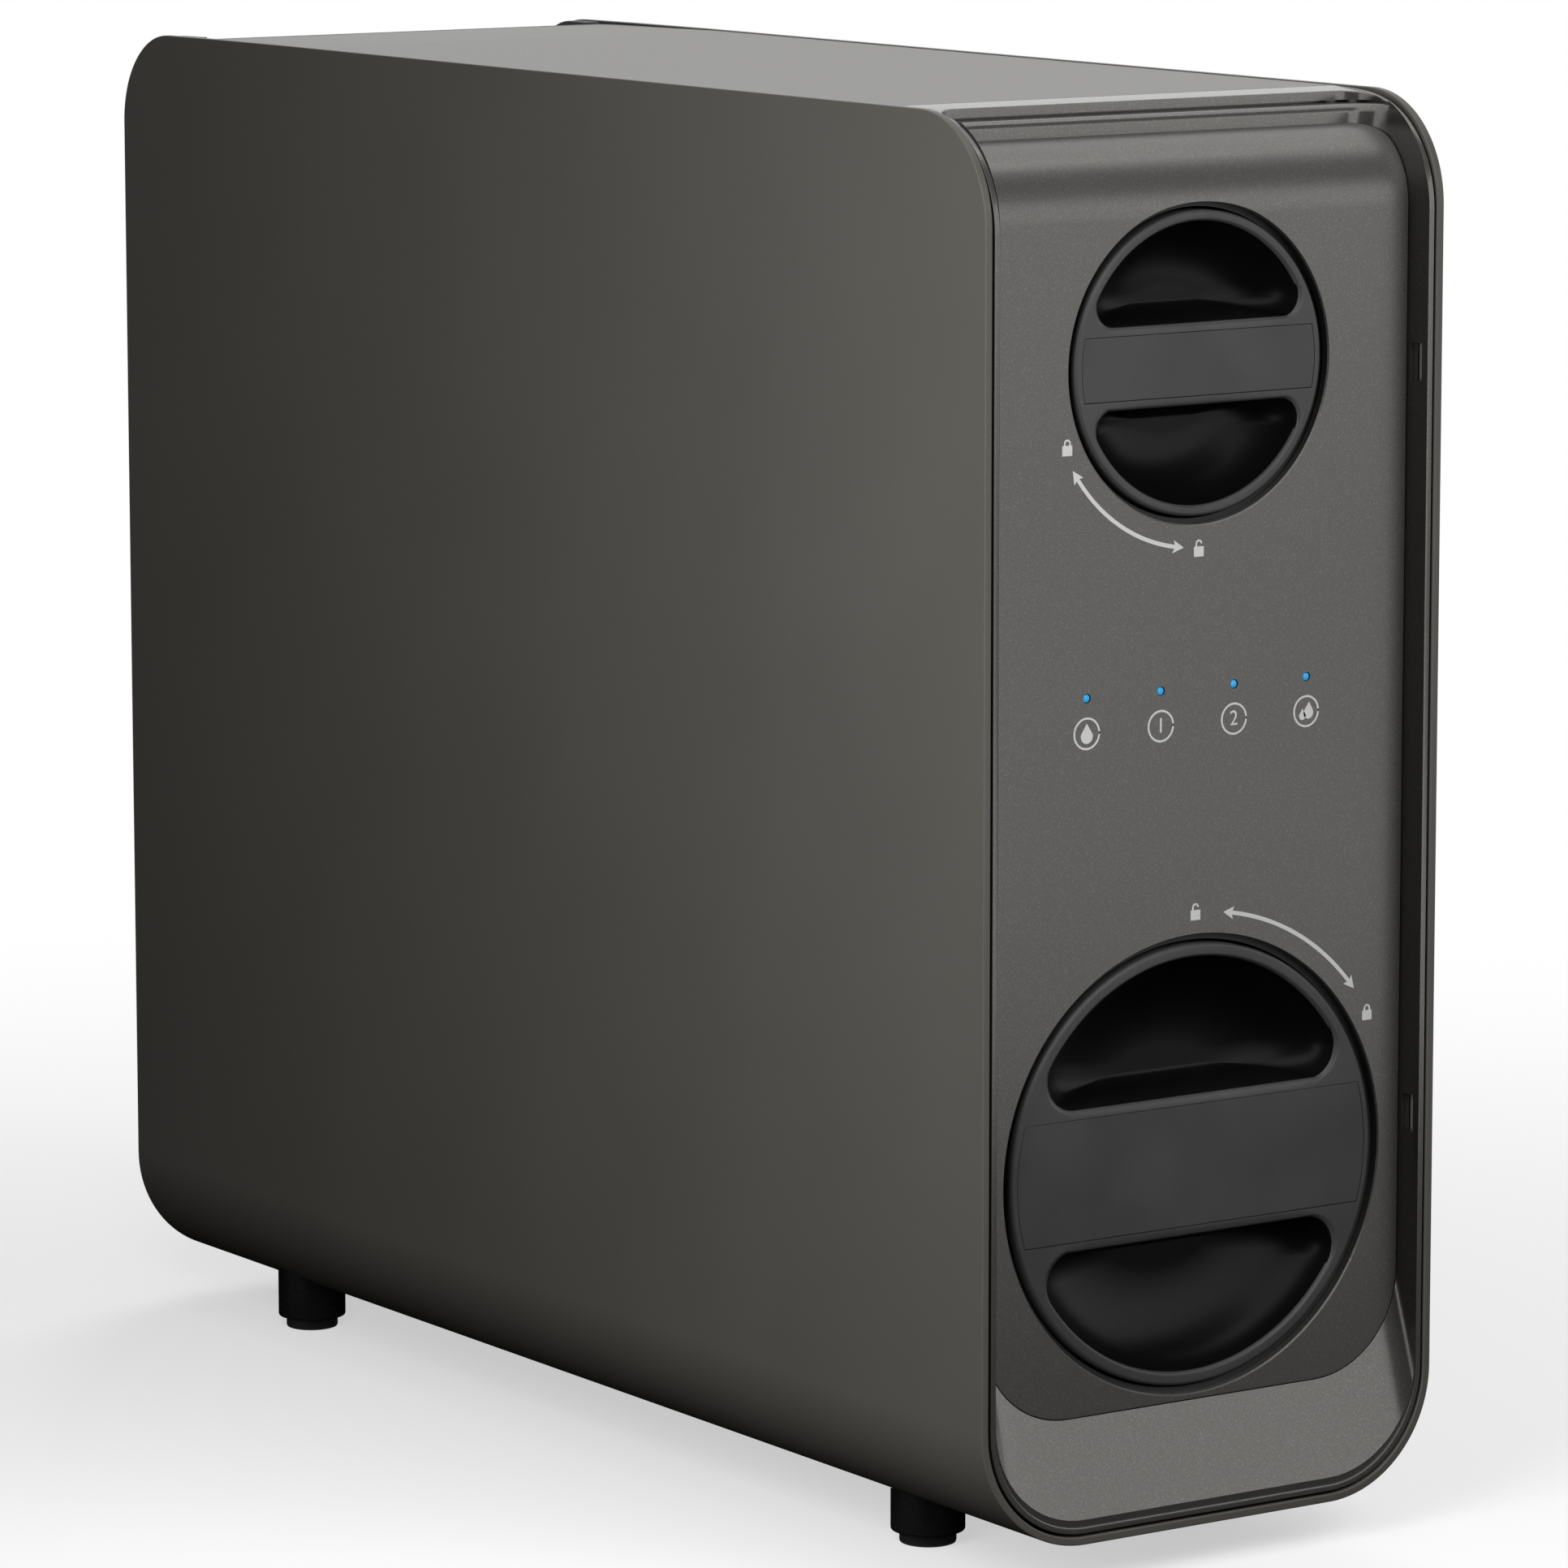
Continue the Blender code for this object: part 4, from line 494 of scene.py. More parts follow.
def make_cover():
    low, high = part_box("top_cover")
    bm = bmesh.new()
    thick, fall, bend = 2 * MM, 1 * MM, REAR - 75 * MM
    section = [(low.y, high.z), (bend, high.z), (high.y, high.z - fall), (high.y, low.z),
               (high.y - thick, low.z), (high.y - thick, high.z - fall - thick), (bend, high.z - thick),
               (low.y + thick, high.z - thick), (low.y + thick, low.z), (low.y, low.z)]
    verts = [bm.verts.new((low.x, y, z)) for y, z in section]
    bm.faces.new(verts)
    round_corner(bm, verts[1], 28 * MM, 8)
    pull(bm, (high.x - low.x, 0, 0))
    cover = settle(bm, "cover", "casing", CASE_PAINT, ["top_cover"])
    return soften(cover, 0.35 * MM)


make_cover()
print("made:", made[-1])

# %% [markdown]
# The front frame is a moulding that runs round the face like a picture frame. Its section changes at the
# top, where a round-fronted bar sits under a thin lip. So it is built from closed contours, one for each
# line of the section, and neighbouring contours are bridged: all of them have the same number of points.

# %% Contours of the front
BEND = 30 * MM
ARC_Y, ARC_Z = FRONT + BEND, TOP - BEND
CROWN_Y, CROWN_Z = FRONT + 30.3 * MM, TOP - 31.05 * MM
CROWN_TURN = radians(70)
SEAM = FRONT + 44 * MM
LOW_STEPS, BEND_STEPS, RUN_STEPS, CORNER_STEPS = 16, 20, 10, 12


def crown_height(y):
    """The frame's top line where it eases from its corner up to the seam with the cover."""
    start = CROWN_Y - BEND * cos(CROWN_TURN)
    rise = TOP - 0.25 * MM - (CROWN_Z + BEND * sin(CROWN_TURN))
    share = (SEAM - y) / (SEAM - start)
    return TOP - 0.25 * MM - rise * (0.75 * share ** 2 + 0.25 * share ** 8)


def profile_height(y, depth):
    """The face's height at y, on the front profile moved in by depth."""
    if y >= ARC_Y:
        return TOP - depth
    return ARC_Z + sqrt((BEND - depth) ** 2 - (ARC_Y - y) ** 2)


def side_path(depth, stop, level, crown):
    """(y, z) up one side, round the bend and back to y = stop."""
    reach = BEND - depth
    if crown:
        centre_y, centre_z, end = CROWN_Y, CROWN_Z, CROWN_TURN
    elif level is None:
        centre_y, centre_z, end = ARC_Y, ARC_Z, acos((ARC_Y - stop) / reach) * 0.6
    else:
        lift = (level - ARC_Z) / reach
        centre_y, centre_z, end = ARC_Y, ARC_Z, atan2(lift, sqrt(1 - lift * lift))
    path = [(centre_y - reach * cos(end * i / BEND_STEPS), centre_z + reach * sin(end * i / BEND_STEPS))
            for i in range(BEND_STEPS + 1)]
    start = path[-1][0]
    for i in range(1, RUN_STEPS + 1):
        y = start + (stop - start) * i / RUN_STEPS
        path.append((y, top_height(y, depth, level, crown)))
    return path


def top_height(y, depth, level, crown):
    if crown:
        return crown_height(y) - depth
    return profile_height(y, depth) if level is None else level


def contour(depth, half, low, radius, end, corner, level=None, crown=False, ease=0.0):
    """One side of a contour, as points from the middle of the bottom to the middle of the top."""
    front = side_path(depth, end - corner, level, crown)
    points = []
    for i in range(LOW_STEPS + 1):
        angle = pi / 2 * i / LOW_STEPS
        points.append((half - radius + radius * sin(angle), front[0][0], low + radius * (1 - cos(angle))))
    points += [(half, y, z) for y, z in front]
    for i in range(1, CORNER_STEPS + 1):
        angle = pi / 2 * i / CORNER_STEPS
        reach = corner + ease * sin(angle)
        y = end - corner + reach * sin(angle)
        points.append((half - corner + reach * cos(angle), y, top_height(y, depth, level, crown)))
    return points


def add_loop(bm, points):
    """A closed loop of edges through a contour and its mirror image."""
    ring = [bm.verts.new(p) for p in points] + [bm.verts.new((-x, y, z)) for x, y, z in reversed(points)]
    return [bm.edges.new((ring[i - 1], ring[i])) for i in range(len(ring))]


def bridge(bm, loops):
    for near, far in zip(loops, loops[1:]):
        bmesh.ops.bridge_loops(bm, edges=near + far)


# %% [markdown]
# From the crease round the face the section climbs the bar's front, rolls over its edge, runs back under
# the lip into a shadow gap, comes forward along the lip's underside and over it to the rim. Along the sides
# and the chin the same contours lie on one plain sloping wall, with two snap windows cut in each side.

# %% Front frame
FACE_DEPTH = 8 * MM
FACE_HALF = 69.5 * MM
FACE_LOW = FLOOR + 32.4 * MM
FACE_RADIUS = 28 * MM
BAR = FRONT + 25 * MM
BAR_CORNER = 8.5 * MM
BAR_ROLL = 2.4 * MM
BAR_TOP = TOP - 3.9 * MM
UNDER_LIP = BAR_TOP + 0.7 * MM
LIP = FRONT + 32 * MM
LIP_CORNER = 8 * MM
GAP_ROOT = FRONT + 36 * MM
FACE_SHARP = 28
SNAP_HEIGHTS = (103.7, 308.2)
SNAP_SIZE = (2 * HALF - 5 * MM, 4.2 * MM, 10.2 * MM)


def wall(depth):
    """Half width, low edge and corner radius of the sloping wall at a depth."""
    share = (FACE_DEPTH - depth) / FACE_DEPTH
    return FACE_HALF + 0.7 * MM * share, FACE_LOW - 27.6 * MM * share, FACE_RADIUS + 1.2 * MM * share


def bar_depth(level):
    """The depth on the side wall at which a level line of the bar starts."""
    return BEND - hypot(ARC_Y - (BAR - BAR_CORNER), level - ARC_Z)


def frame_loops(bm):
    loops = [contour(FACE_DEPTH, FACE_HALF, FACE_LOW, FACE_RADIUS, BAR, BAR_CORNER)]
    for i in range(7):
        angle = pi / 2 * i / 6
        level = BAR_TOP - BAR_ROLL * (1 - sin(angle))
        depth = bar_depth(level)
        loops.append(contour(depth, *wall(depth), BAR, BAR_CORNER, level, ease=BAR_ROLL * (1 - cos(angle))))
    for level, end, depth in ((BAR_TOP, GAP_ROOT, 0.60), (UNDER_LIP, GAP_ROOT, 0.57),
                              (UNDER_LIP, LIP, 0.54)):
        loops.append(contour(depth * MM, *wall(depth * MM), end, LIP_CORNER, level))
    rim_half, rim_low, rim_radius = wall(0)
    for depth, grow, end, corner in ((0.45, 0.0, LIP, LIP_CORNER), (0.12, 0.10, LIP + 0.1 * MM, LIP_CORNER),
                                     (0.0, 0.45, LIP + 0.45 * MM, LIP_CORNER),
                                     (0.0, 1.55, SEAM - 0.25 * MM, 0.6 * MM),
                                     (0.08, 1.72, SEAM - 0.08 * MM, 0.6 * MM),
                                     (0.25, 1.80, SEAM, 0.6 * MM), (12.0, 1.80, SEAM, 0.6 * MM)):
        grow *= MM
        loops.append(contour(depth * MM, rim_half + grow, rim_low - grow, rim_radius + grow, end, corner,
                             crown=True))
    loops.append(contour(12 * MM, FACE_HALF, FACE_LOW, FACE_RADIUS, BAR, BAR_CORNER))
    return [add_loop(bm, points) for points in loops]


def make_frame():
    bm = bmesh.new()
    loops = frame_loops(bm)
    bridge(bm, loops + loops[:1])
    piece = settle(bm, "frame", "casing", RIM_PAINT, ["front_frame"], sharp=FACE_SHARP)
    for height in SNAP_HEIGHTS:
        carve(piece, block(SNAP_SIZE, (0, FRONT + 4.6 * MM, FLOOR + height * MM)))
    piece.data.set_sharp_from_angle(angle=radians(FACE_SHARP))
    return weigh(piece)


make_frame()
print("made:", made[-1])

# %% [markdown]
# The face panel is a thin plate that follows the same profile. Its right and left edges are bridged
# straight across, which gives the curved front. The two cartridge holes have a small bright chamfer, so
# their cutters flare at the front.

# %% Face panel
PANEL_GAP = 0.15 * MM
CREASE = 0.9 * MM
CARBON_Z = TOP - 68.6 * MM
MEMBRANE_Z = FLOOR + 96.6 * MM
LAMP_XS = [(i - 1.5) * 24.2 * MM for i in range(4)]
LAMP_Z = FLOOR + 225.4 * MM


def turned(points, place, steps=96):
    """Spins a section of (radius, y) round the Y axis through a place."""
    bm = bmesh.new()
    verts = [bm.verts.new((radius, y, 0)) for radius, y in points]
    edges = [bm.edges.new(pair) for pair in zip(verts, verts[1:])]
    bmesh.ops.spin(bm, geom=verts + edges, cent=(0, 0, 0), axis=(0, 1, 0), angle=2 * pi, steps=steps,
                   use_merge=True)
    bmesh.ops.remove_doubles(bm, verts=bm.verts, dist=1e-7)
    bmesh.ops.translate(bm, vec=place, verts=bm.verts)
    bmesh.ops.recalc_face_normals(bm, faces=bm.faces)
    return bm


def panel_contour(depth, inset):
    return contour(depth, FACE_HALF - inset, FACE_LOW + inset, FACE_RADIUS - inset, BAR - inset - CREASE,
                   BAR_CORNER - inset)


def ladder(bm, points):
    """Bridges a contour's right side straight across to its left side."""
    sides = []
    for sign in (1, -1):
        verts = [bm.verts.new((sign * x, y, z)) for x, y, z in points]
        sides += [bm.edges.new(pair) for pair in zip(verts, verts[1:])]
    bmesh.ops.bridge_loops(bm, edges=sides)


def make_panel():
    bm = bmesh.new()
    edge = 0.25 * MM
    back = FACE_DEPTH + 2.5 * MM
    outline = [panel_contour(FACE_DEPTH, PANEL_GAP + edge), panel_contour(FACE_DEPTH + edge, PANEL_GAP),
               panel_contour(back, PANEL_GAP)]
    bridge(bm, [add_loop(bm, points) for points in outline])
    ladder(bm, outline[0])
    ladder(bm, outline[-1])
    panel = settle(bm, "panel", "casing", FLAKE_PAINT, ["face_panel"], sharp=FACE_SHARP)
    front = FRONT + FACE_DEPTH
    for radius, height in ((42.55 * MM, CARBON_Z), (62.35 * MM, MEMBRANE_Z)):
        flare = 0.4 * MM
        section = [(0, front - 5 * MM), (radius + flare, front - 5 * MM), (radius + flare, front),
                   (radius, front + flare), (radius, front + 9 * MM), (0, front + 9 * MM)]
        carve(panel, turned(section, (0, 0, height), 128))
    for x in LAMP_XS:
        section = [(0, front - 1 * MM), (1.3 * MM, front - 1 * MM), (1.3 * MM, front + 4 * MM),
                   (0, front + 4 * MM)]
        carve(panel, turned(section, (x, 0, LAMP_Z), 32))
    panel.data.set_sharp_from_angle(angle=radians(FACE_SHARP))
    return weigh(panel)


make_panel()
print("made:", made[-1])

# %% [markdown]
# A cap is a turned disc with two scooped pockets that leave a grip bar. Each pocket is a half-moon outline
# repeated at growing depth: the first rows roll over the lip, the rest shrink along a quarter of an ellipse
# to a narrow deepest line by the bar. The loops are bridged into a cutter and taken out of the disc, and
# the scooped faces get a smoother and far darker black than the rim: painted shade in the pockets.

# %% Caps
CAP_FRONT = FRONT + 8.3 * MM
CAP_BACK, PLUG_BACK = 22 * MM, 29 * MM
POCKET_DEPTH = 15.5


def half_moon(radius, low, corner, steps=10):
    """(x, z) round the part of a disc above z = low, with round ends."""
    reach, rise = radius - corner, low + corner
    run = sqrt(reach * reach - rise * rise)
    lean = acos(run / reach)
    arcs = [(run, rise, corner, -pi / 2, lean, steps), (0, 0, radius, lean, pi - lean, 4 * steps),
            (-run, rise, corner, pi - lean, 1.5 * pi, steps)]
    points = []
    for x, z, size, start, stop, count in arcs:
        turns = [start + (stop - start) * i / count for i in range(1, count + 1)]
        points += [(x + size * cos(turn), z + size * sin(turn)) for turn in turns]
    return points


def pocket_cutter(radius, low, corner, depth, draw_in, flip):
    bm = bmesh.new()
    rows = [(-0.6, -1.2), (-0.05, -1.0), (0.08, -0.62), (0.3, -0.3), (0.7, -0.08), (1.2, 0.0)]
    rows = [(sink, inset, inset, 1.0) for sink, inset in rows]
    for i in range(1, 15):
        angle = pi / 2 * i / 14
        sweep = 1 - cos(angle)
        rows.append((1.2 + (depth - 1.2) * sin(angle), draw_in * sweep, 4.8 * sweep, 1 - 0.82 * sweep))
    loops = []
    for sink, outer, bar, share in rows:
        ring = [bm.verts.new((x * flip, sink * MM, z * flip))
                for x, z in half_moon(radius - outer * MM, low + bar * MM, corner * share)]
        loops.append([bm.edges.new((ring[i - 1], ring[i])) for i in range(len(ring))])
    bridge(bm, loops)
    bmesh.ops.holes_fill(bm, edges=bm.edges[:], sides=0)
    return bm


def bar_plate(radius, half, front, back):
    """A bar across a disc, with ends that follow it: a circle cut by two planes and extruded."""
    bm = bmesh.new()
    bmesh.ops.create_circle(bm, cap_ends=True, radius=radius, segments=160,
                            matrix=Matrix.Rotation(pi / 2, 4, "X"))
    for sign in (1, -1):
        geom = bm.verts[:] + bm.edges[:] + bm.faces[:]
        bmesh.ops.bisect_plane(bm, geom=geom, plane_co=(0, 0, sign * half), plane_no=(0, 0, sign),
                               clear_outer=True)
    bmesh.ops.translate(bm, vec=(0, front, 0), verts=bm.verts)
    return pull(bm, (0, back - front, 0))


def make_cap(name, radius, height, bar, plate, corner, pocket, draw_in, plug):
    edge = 1.0 * MM
    place = Vector((0, CAP_FRONT, height))
    section = [(0, 0)] + [(radius - edge + edge * sin(pi / 2 * i / 5), edge * (1 - cos(pi / 2 * i / 5)))
                          for i in range(6)]
    section += [(radius, CAP_BACK), (plug, CAP_BACK), (plug, PLUG_BACK), (0, PLUG_BACK)]
    body = f"{name}_cartridge"
    cap = settle(turned(section, (0, 0, 0), 144), f"{name}_grip", body, CAP_BLACK, [f"{name}_cap"])
    for flip in (1, -1):
        carve(cap, pocket_cutter(pocket, bar, corner, POCKET_DEPTH, draw_in, flip))
    carve(cap, bar_plate(radius - 2.1 * MM, plate, -edge, 0.9 * MM))
    # The faces inside the pockets take the near-black finish: painted shade in the scoops.
    cap.data.materials.append(POCKET_PAINTED_SHADE)
    for face in cap.data.polygons:
        x, y, z = face.center
        face.material_index = int(0.5 * MM < y < 20 * MM and hypot(x, z) < pocket and abs(z) > bar)
    cap.data.transform(Matrix.Translation(place))
    weigh(cap)
    bm = bar_plate(radius - 2.25 * MM, plate - 0.15 * MM, 0.0, 0.6 * MM)
    bmesh.ops.translate(bm, vec=place, verts=bm.verts)
    insert = settle(bm, f"{name}_plate", body, PLATE_BLACK, [f"{name}_cap_insert"])
    soften(insert, 0.12 * MM, 2)


make_cap("carbon", 40.4 * MM, CARBON_Z, 10.9 * MM, 8.6 * MM, 5.5 * MM, 37.5 * MM, 18.0, 35.3 * MM)
make_cap("membrane", 60 * MM, MEMBRANE_Z, 19.1 * MM, 16.6 * MM, 8.5 * MM, 56.3 * MM, 26.0, 54.3 * MM)
print("made:", made[-4:])

# %% [markdown]
# Behind each cap hangs a white canister with a shoulder, a neck and two lugs that turn the valve. The same
# section as the solid's is spun with more steps and its corners get a live bevel.

# %% Canisters
HEAD_FRONT = FRONT + 300.3 * MM
CAN_WALL = 2.4 * MM
NECK_BORE = 8 * MM
GROOVE_HALF = 2.4 * MM


def make_canister(name, radius, neck, height):
    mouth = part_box(f"{name}_canister")[0].y
    neck_start = HEAD_FRONT - 2.3 * MM
    shoulder, neck_end = neck_start - 10 * MM, neck_start + 26 * MM
    bore, inside = radius - CAN_WALL, shoulder - CAN_WALL
    ring, groove = neck_end - 4.8 * MM, neck - 2.8 * MM
    section = [(NECK_BORE, inside), (bore, inside), (bore, mouth), (radius, mouth), (radius, shoulder),
               (neck + CAN_WALL, neck_start), (neck, neck_start), (neck, ring - GROOVE_HALF),
               (groove, ring - GROOVE_HALF), (groove, ring + GROOVE_HALF), (neck, ring + GROOVE_HALF),
               (neck, neck_end), (NECK_BORE, neck_end), (NECK_BORE, inside)]
    can = settle(turned(section, (0, 0, height)), f"{name}_can", f"{name}_cartridge", WATER_WHITE,
                 [f"{name}_canister"])
    for side in (-1, 1):
        centre = (side * (neck + 0.4 * MM), HEAD_FRONT + 7.5 * MM, height)
        carve(can, block((5.6 * MM, 9 * MM, 6 * MM), centre), "UNION")
    soften(can, 0.4 * MM, 2)
    profile = [(groove + 0.3 * MM + 1.2 * MM * (1 + cos(pi * i / 8)), ring + 1.2 * MM * sin(pi * i / 8))
               for i in range(17)]
    settle(turned(profile, (0, 0, height)), f"{name}_seal", f"{name}_cartridge", RUBBER,
           [f"{name}_neck_seal"])


make_canister("carbon", 38 * MM, 15.7 * MM, CARBON_Z)
make_canister("membrane", 57 * MM, 19 * MM, MEMBRANE_Z)
print("made:", made[-4:])

# %% [markdown]
# A plain sleeve guides each cartridge. It shows as a thin dark ring in the gap round the cap, so it is spun
# finely enough to look round there.

# %% Sleeves


def make_sleeve(name, height):
    low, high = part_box(f"{name}_sleeve")
    outer = (high.x - low.x) / 2
    bore = outer - 2.0 * MM
    section = [(bore, low.y), (outer, low.y), (outer, high.y), (bore, high.y), (bore, low.y)]
    settle(turned(section, (0, 0, height), 128), f"{name}_guide", "casing", DARK_GREY, [f"{name}_sleeve"])


make_sleeve("carbon", CARBON_Z)
make_sleeve("membrane", MEMBRANE_Z)
print("made:", made[-2:])

# %% [markdown]
# The indicators are the ends of four clear rods, slightly domed and a touch below the face.

# %% Indicators


def make_lamps():
    front = FRONT + FACE_DEPTH + 0.05 * MM
    rod = mm([(0, 0), (0.6, 0.05), (1.0, 0.25), (1.0, 2.7), (2.2, 2.7), (2.2, 3.9), (1.0, 3.9)])
    for number, x in enumerate(LAMP_XS, 1):
        node = f"light_pipe_{number}"
        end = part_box(node)[1].y
        section = [(radius, front + y) for radius, y in rod] + [(1.0 * MM, end), (0, end)]
        settle(turned(section, (x, 0, LAMP_Z), 32), f"lamp_{number}", "casing", GLOW, [node],
               sharp=50)


make_lamps()
print("made:", made[-4:])

# %% [markdown]
# The print: padlocks and turning arrows round the caps, and four ringed signs under the lamps. Each sign is
# a flat shape in the face's plane: bands and rings are spun edges, drops are small outlines. They lie a
# few hundredths of a millimetre proud of the face and are extruded to the ink's thickness.

# %% Printed signs
INK_Y = FRONT + FACE_DEPTH - 0.03 * MM


def flat(bm, points, place, rise=0.0):
    """A flat face from (x, z) points in millimetres round a place."""
    spots = [(place[0] + x * MM, INK_Y - rise, place[1] + z * MM) for x, z in points]
    return bm.faces.new([bm.verts.new(spot) for spot in spots])


def band(bm, centre, radius, width, start, stop, steps=32):
    """A curved stroke; angles in degrees, sizes in millimetres."""
    angle = radians(start)
    ends = [bm.verts.new((centre[0] + r * MM * cos(angle), INK_Y, centre[1] + r * MM * sin(angle)))
            for r in (radius - width / 2, radius + width / 2)]
    bmesh.ops.spin(bm, geom=ends + [bm.edges.new(ends)], cent=(centre[0], INK_Y, centre[1]), axis=(0, -1, 0),
                   angle=radians(stop - start), steps=steps)


def arrow_head(bm, centre, radius, angle, way):
    """A barbed head on the end of a curved stroke; it points the way the angle grows or shrinks."""
    a = radians(angle)
    tip = Vector((radius * cos(a), radius * sin(a)))
    along = Vector((-sin(a), cos(a))) * way
    across = Vector((cos(a), sin(a)))
    point, notch = tip + along * 1.8, tip - along * 1.0
    barbs = [tip - along * 1.8 + across * 1.75 * side for side in (1, -1)]
    flat(bm, [point, barbs[0], notch, barbs[1]], centre, 0.004 * MM)


def padlock(bm, place, is_open):
    flat(bm, [(-1.6, -2.1), (1.6, -2.1), (1.6, 0.6), (-1.6, 0.6)], place)
    lift = 0.75 if is_open else 0.55
    middle = (place[0], place[1] + (0.6 + lift) * MM)
    band(bm, middle, 0.85, 0.5, 0, 180, 16)
    for x in (-0.85,) if is_open else (-0.85, 0.85):
        flat(bm, [(x - 0.25, 0.6), (x + 0.25, 0.6), (x + 0.25, 0.6 + lift), (x - 0.25, 0.6 + lift)], place)


def drop_points(height, lean=0.0):
    """A water drop's outline: a round belly with a tip drawn up from it."""
    radius = height * 0.36
    belly = -height / 2 + radius
    lap = radians(28)
    turns = [pi - 0.6 * lap + (pi + 1.2 * lap) * i / 24 for i in range(25)]
    round_part = [(radius * cos(turn), belly + radius * sin(turn)) for turn in turns]
    return [(lean * height, height / 2)] + round_part


def numeral(bm, text, place, height):
    curve = bpy.data.curves.new("numeral", "FONT")
    curve.body, curve.size = text, height * MM * 1.42
    curve.align_x, curve.align_y = "CENTER", "CENTER"
    holder = bpy.data.objects.new("numeral", curve)
    scene.collection.objects.link(holder)
    bpy.context.view_layer.update()
    mesh = bpy.data.meshes.new_from_object(holder.evaluated_get(bpy.context.evaluated_depsgraph_get()))
    mesh.transform(Matrix.Translation((place[0], INK_Y, place[1])) @ Matrix.Rotation(pi / 2, 4, "X"))
    bm.from_mesh(mesh)
    bpy.data.objects.remove(holder, do_unlink=True)


def ringed_signs(bm):
    sign_z = FLOOR + 216.1 * MM
    for x in LAMP_XS:
        band(bm, (x, sign_z), 4.05, 0.55, 0, 360, 48)
    flat(bm, drop_points(5.4), (LAMP_XS[0], sign_z))
    numeral(bm, "1", (LAMP_XS[1], sign_z), 4.0)
    numeral(bm, "2", (LAMP_XS[2], sign_z), 4.0)
    flat(bm, drop_points(4.6, 0.05), (LAMP_XS[3] + 0.75 * MM, sign_z + 0.2 * MM))
    flat(bm, drop_points(3.1, 0.0), (LAMP_XS[3] - 1.25 * MM, sign_z - 0.75 * MM))


def make_print():
    bm = bmesh.new()
    for height, radius, start, stop, first, last, locks in (
            (CARBON_Z, 48.6, 214.5, 261.5, 214.0, 262.0, ((-43.1, 291.8, False), (0, 262.4, True))),
            (MEMBRANE_Z, 68.3, 40.2, 80.6, 39.9, 80.9, ((-0.2, 165.1, True), (58.1, 132.0, False)))):
        band(bm, (0, height), radius, 1.1, start, stop)
        arrow_head(bm, (0, height), radius, first, -1)
        arrow_head(bm, (0, height), radius, last, 1)
        for x, z, is_open in locks:
            padlock(bm, (x * MM, FLOOR + z * MM), is_open)
    ringed_signs(bm)
    for face in bm.faces:
        face.normal_update()
        if face.normal.y > 0:
            face.normal_flip()
    pull(bm, (0, 0.02 * MM, 0), True)
    settle(bm, "face_print", "casing", INK)


make_print()
print("made:", made[-1])

# %% [markdown]
# Four feet stand under the curved floor. Each is turned, rounded at its lower edge and trimmed to the
# shell's outside with one Boolean; a narrower rubber pad sits in its end.

# %% Feet


def prism(points, axis, low, high, rounds=(), segments=20):
    """A flat outline with some corners rounded, extruded along X or Y."""
    bm = bmesh.new()
    verts = [bm.verts.new((low, a, b) if axis == 0 else (a, low, b)) for a, b in points]
    bm.faces.new(verts)
    for index, radius in rounds:
        round_corner(bm, verts[index], radius, segments)
    return pull(bm, (high - low, 0, 0) if axis == 0 else (0, high - low, 0))


def shell_outside():
    grow = 0.1 * MM
    half, low = HALF + grow, FLOOR - grow
    outline = [(-half, TOP), (-half, low), (half, low), (half, TOP)]
    return prism(outline, 1, FRONT, REAR, [(1, FOLD + grow), (2, FOLD + grow)], 24)


def upright(points, x, y):
    """A section spun round Y, stood up on Z and moved to its place."""
    bm = turned(mm(points), (0, 0, 0), 64)
    bmesh.ops.rotate(bm, cent=(0, 0, 0), matrix=Matrix.Rotation(pi / 2, 3, "X"), verts=bm.verts)
    bmesh.ops.translate(bm, vec=(x, y, 0), verts=bm.verts)
    return bm


LEG_SECTION = [(0, 5.3), (8.0, 5.3), (8.0, 3.5), (9.6, 3.5), (9.95, 3.6), (10.15, 3.85), (10.2, 4.2),
               (10.2, 29), (0, 29)]
PAD_SECTION = [(0, 0), (7.2, 0), (7.6, 0.15), (7.8, 0.6), (7.8, 5.0), (0, 5.0)]


def make_feet():
    for end, x, y in (("front", 46.5 * MM, FRONT + 65 * MM), ("rear", 51.4 * MM, REAR - 65 * MM)):
        for side, sign in (("left", -1), ("right", 1)):
            spot = f"{end}_{side}"
            foot = settle(upright(LEG_SECTION, sign * x, y), f"leg_{spot}", "casing", FOOT_BLACK,
                          [f"foot_{spot}"])
            carve(foot, shell_outside())
            settle(upright(PAD_SECTION, sign * x, y), f"pad_{spot}", "casing", RUBBER, [f"foot_pad_{spot}"])


make_feet()
print("made:", made[-8:])

# %% [markdown]
# The back is a dark moulding with a deep recess that is open at the top, so that tubes can bend upwards.
# It is the same rounded outline again, cut by the side profile, then hollowed with a tapering loft.

# %% Rear panel
REAR_FACE = REAR - 38 * MM
PORT_Z = FLOOR + 165 * MM
PORT_XS = {"inlet": -45 * MM, "drain": 0.0, "pure": 45 * MM}
POWER_Z = PORT_Z - 45 * MM


def rear_hollow():
    bm = bmesh.new()
    loops = []
    for y, draft, low in ((REAR + 5 * MM, 0.0, FLOOR + 4.2 * MM), (REAR - 0.9 * MM, 0.0, FLOOR + 4.8 * MM),
                          (REAR_FACE, 3 * MM, FLOOR + 17 * MM)):
        radius, half = 29.2 * MM - draft, 70.2 * MM - draft
        side = [(half - radius + radius * sin(pi / 2 * i / 20), low + radius * (1 - cos(pi / 2 * i / 20)))
                for i in range(21)] + [(half, TOP + 5 * MM)]
        loops.append(add_loop(bm, [(x, y, z) for x, z in side]))
    bridge(bm, loops)
    bmesh.ops.holes_fill(bm, edges=bm.edges[:], sides=0)
    return bm


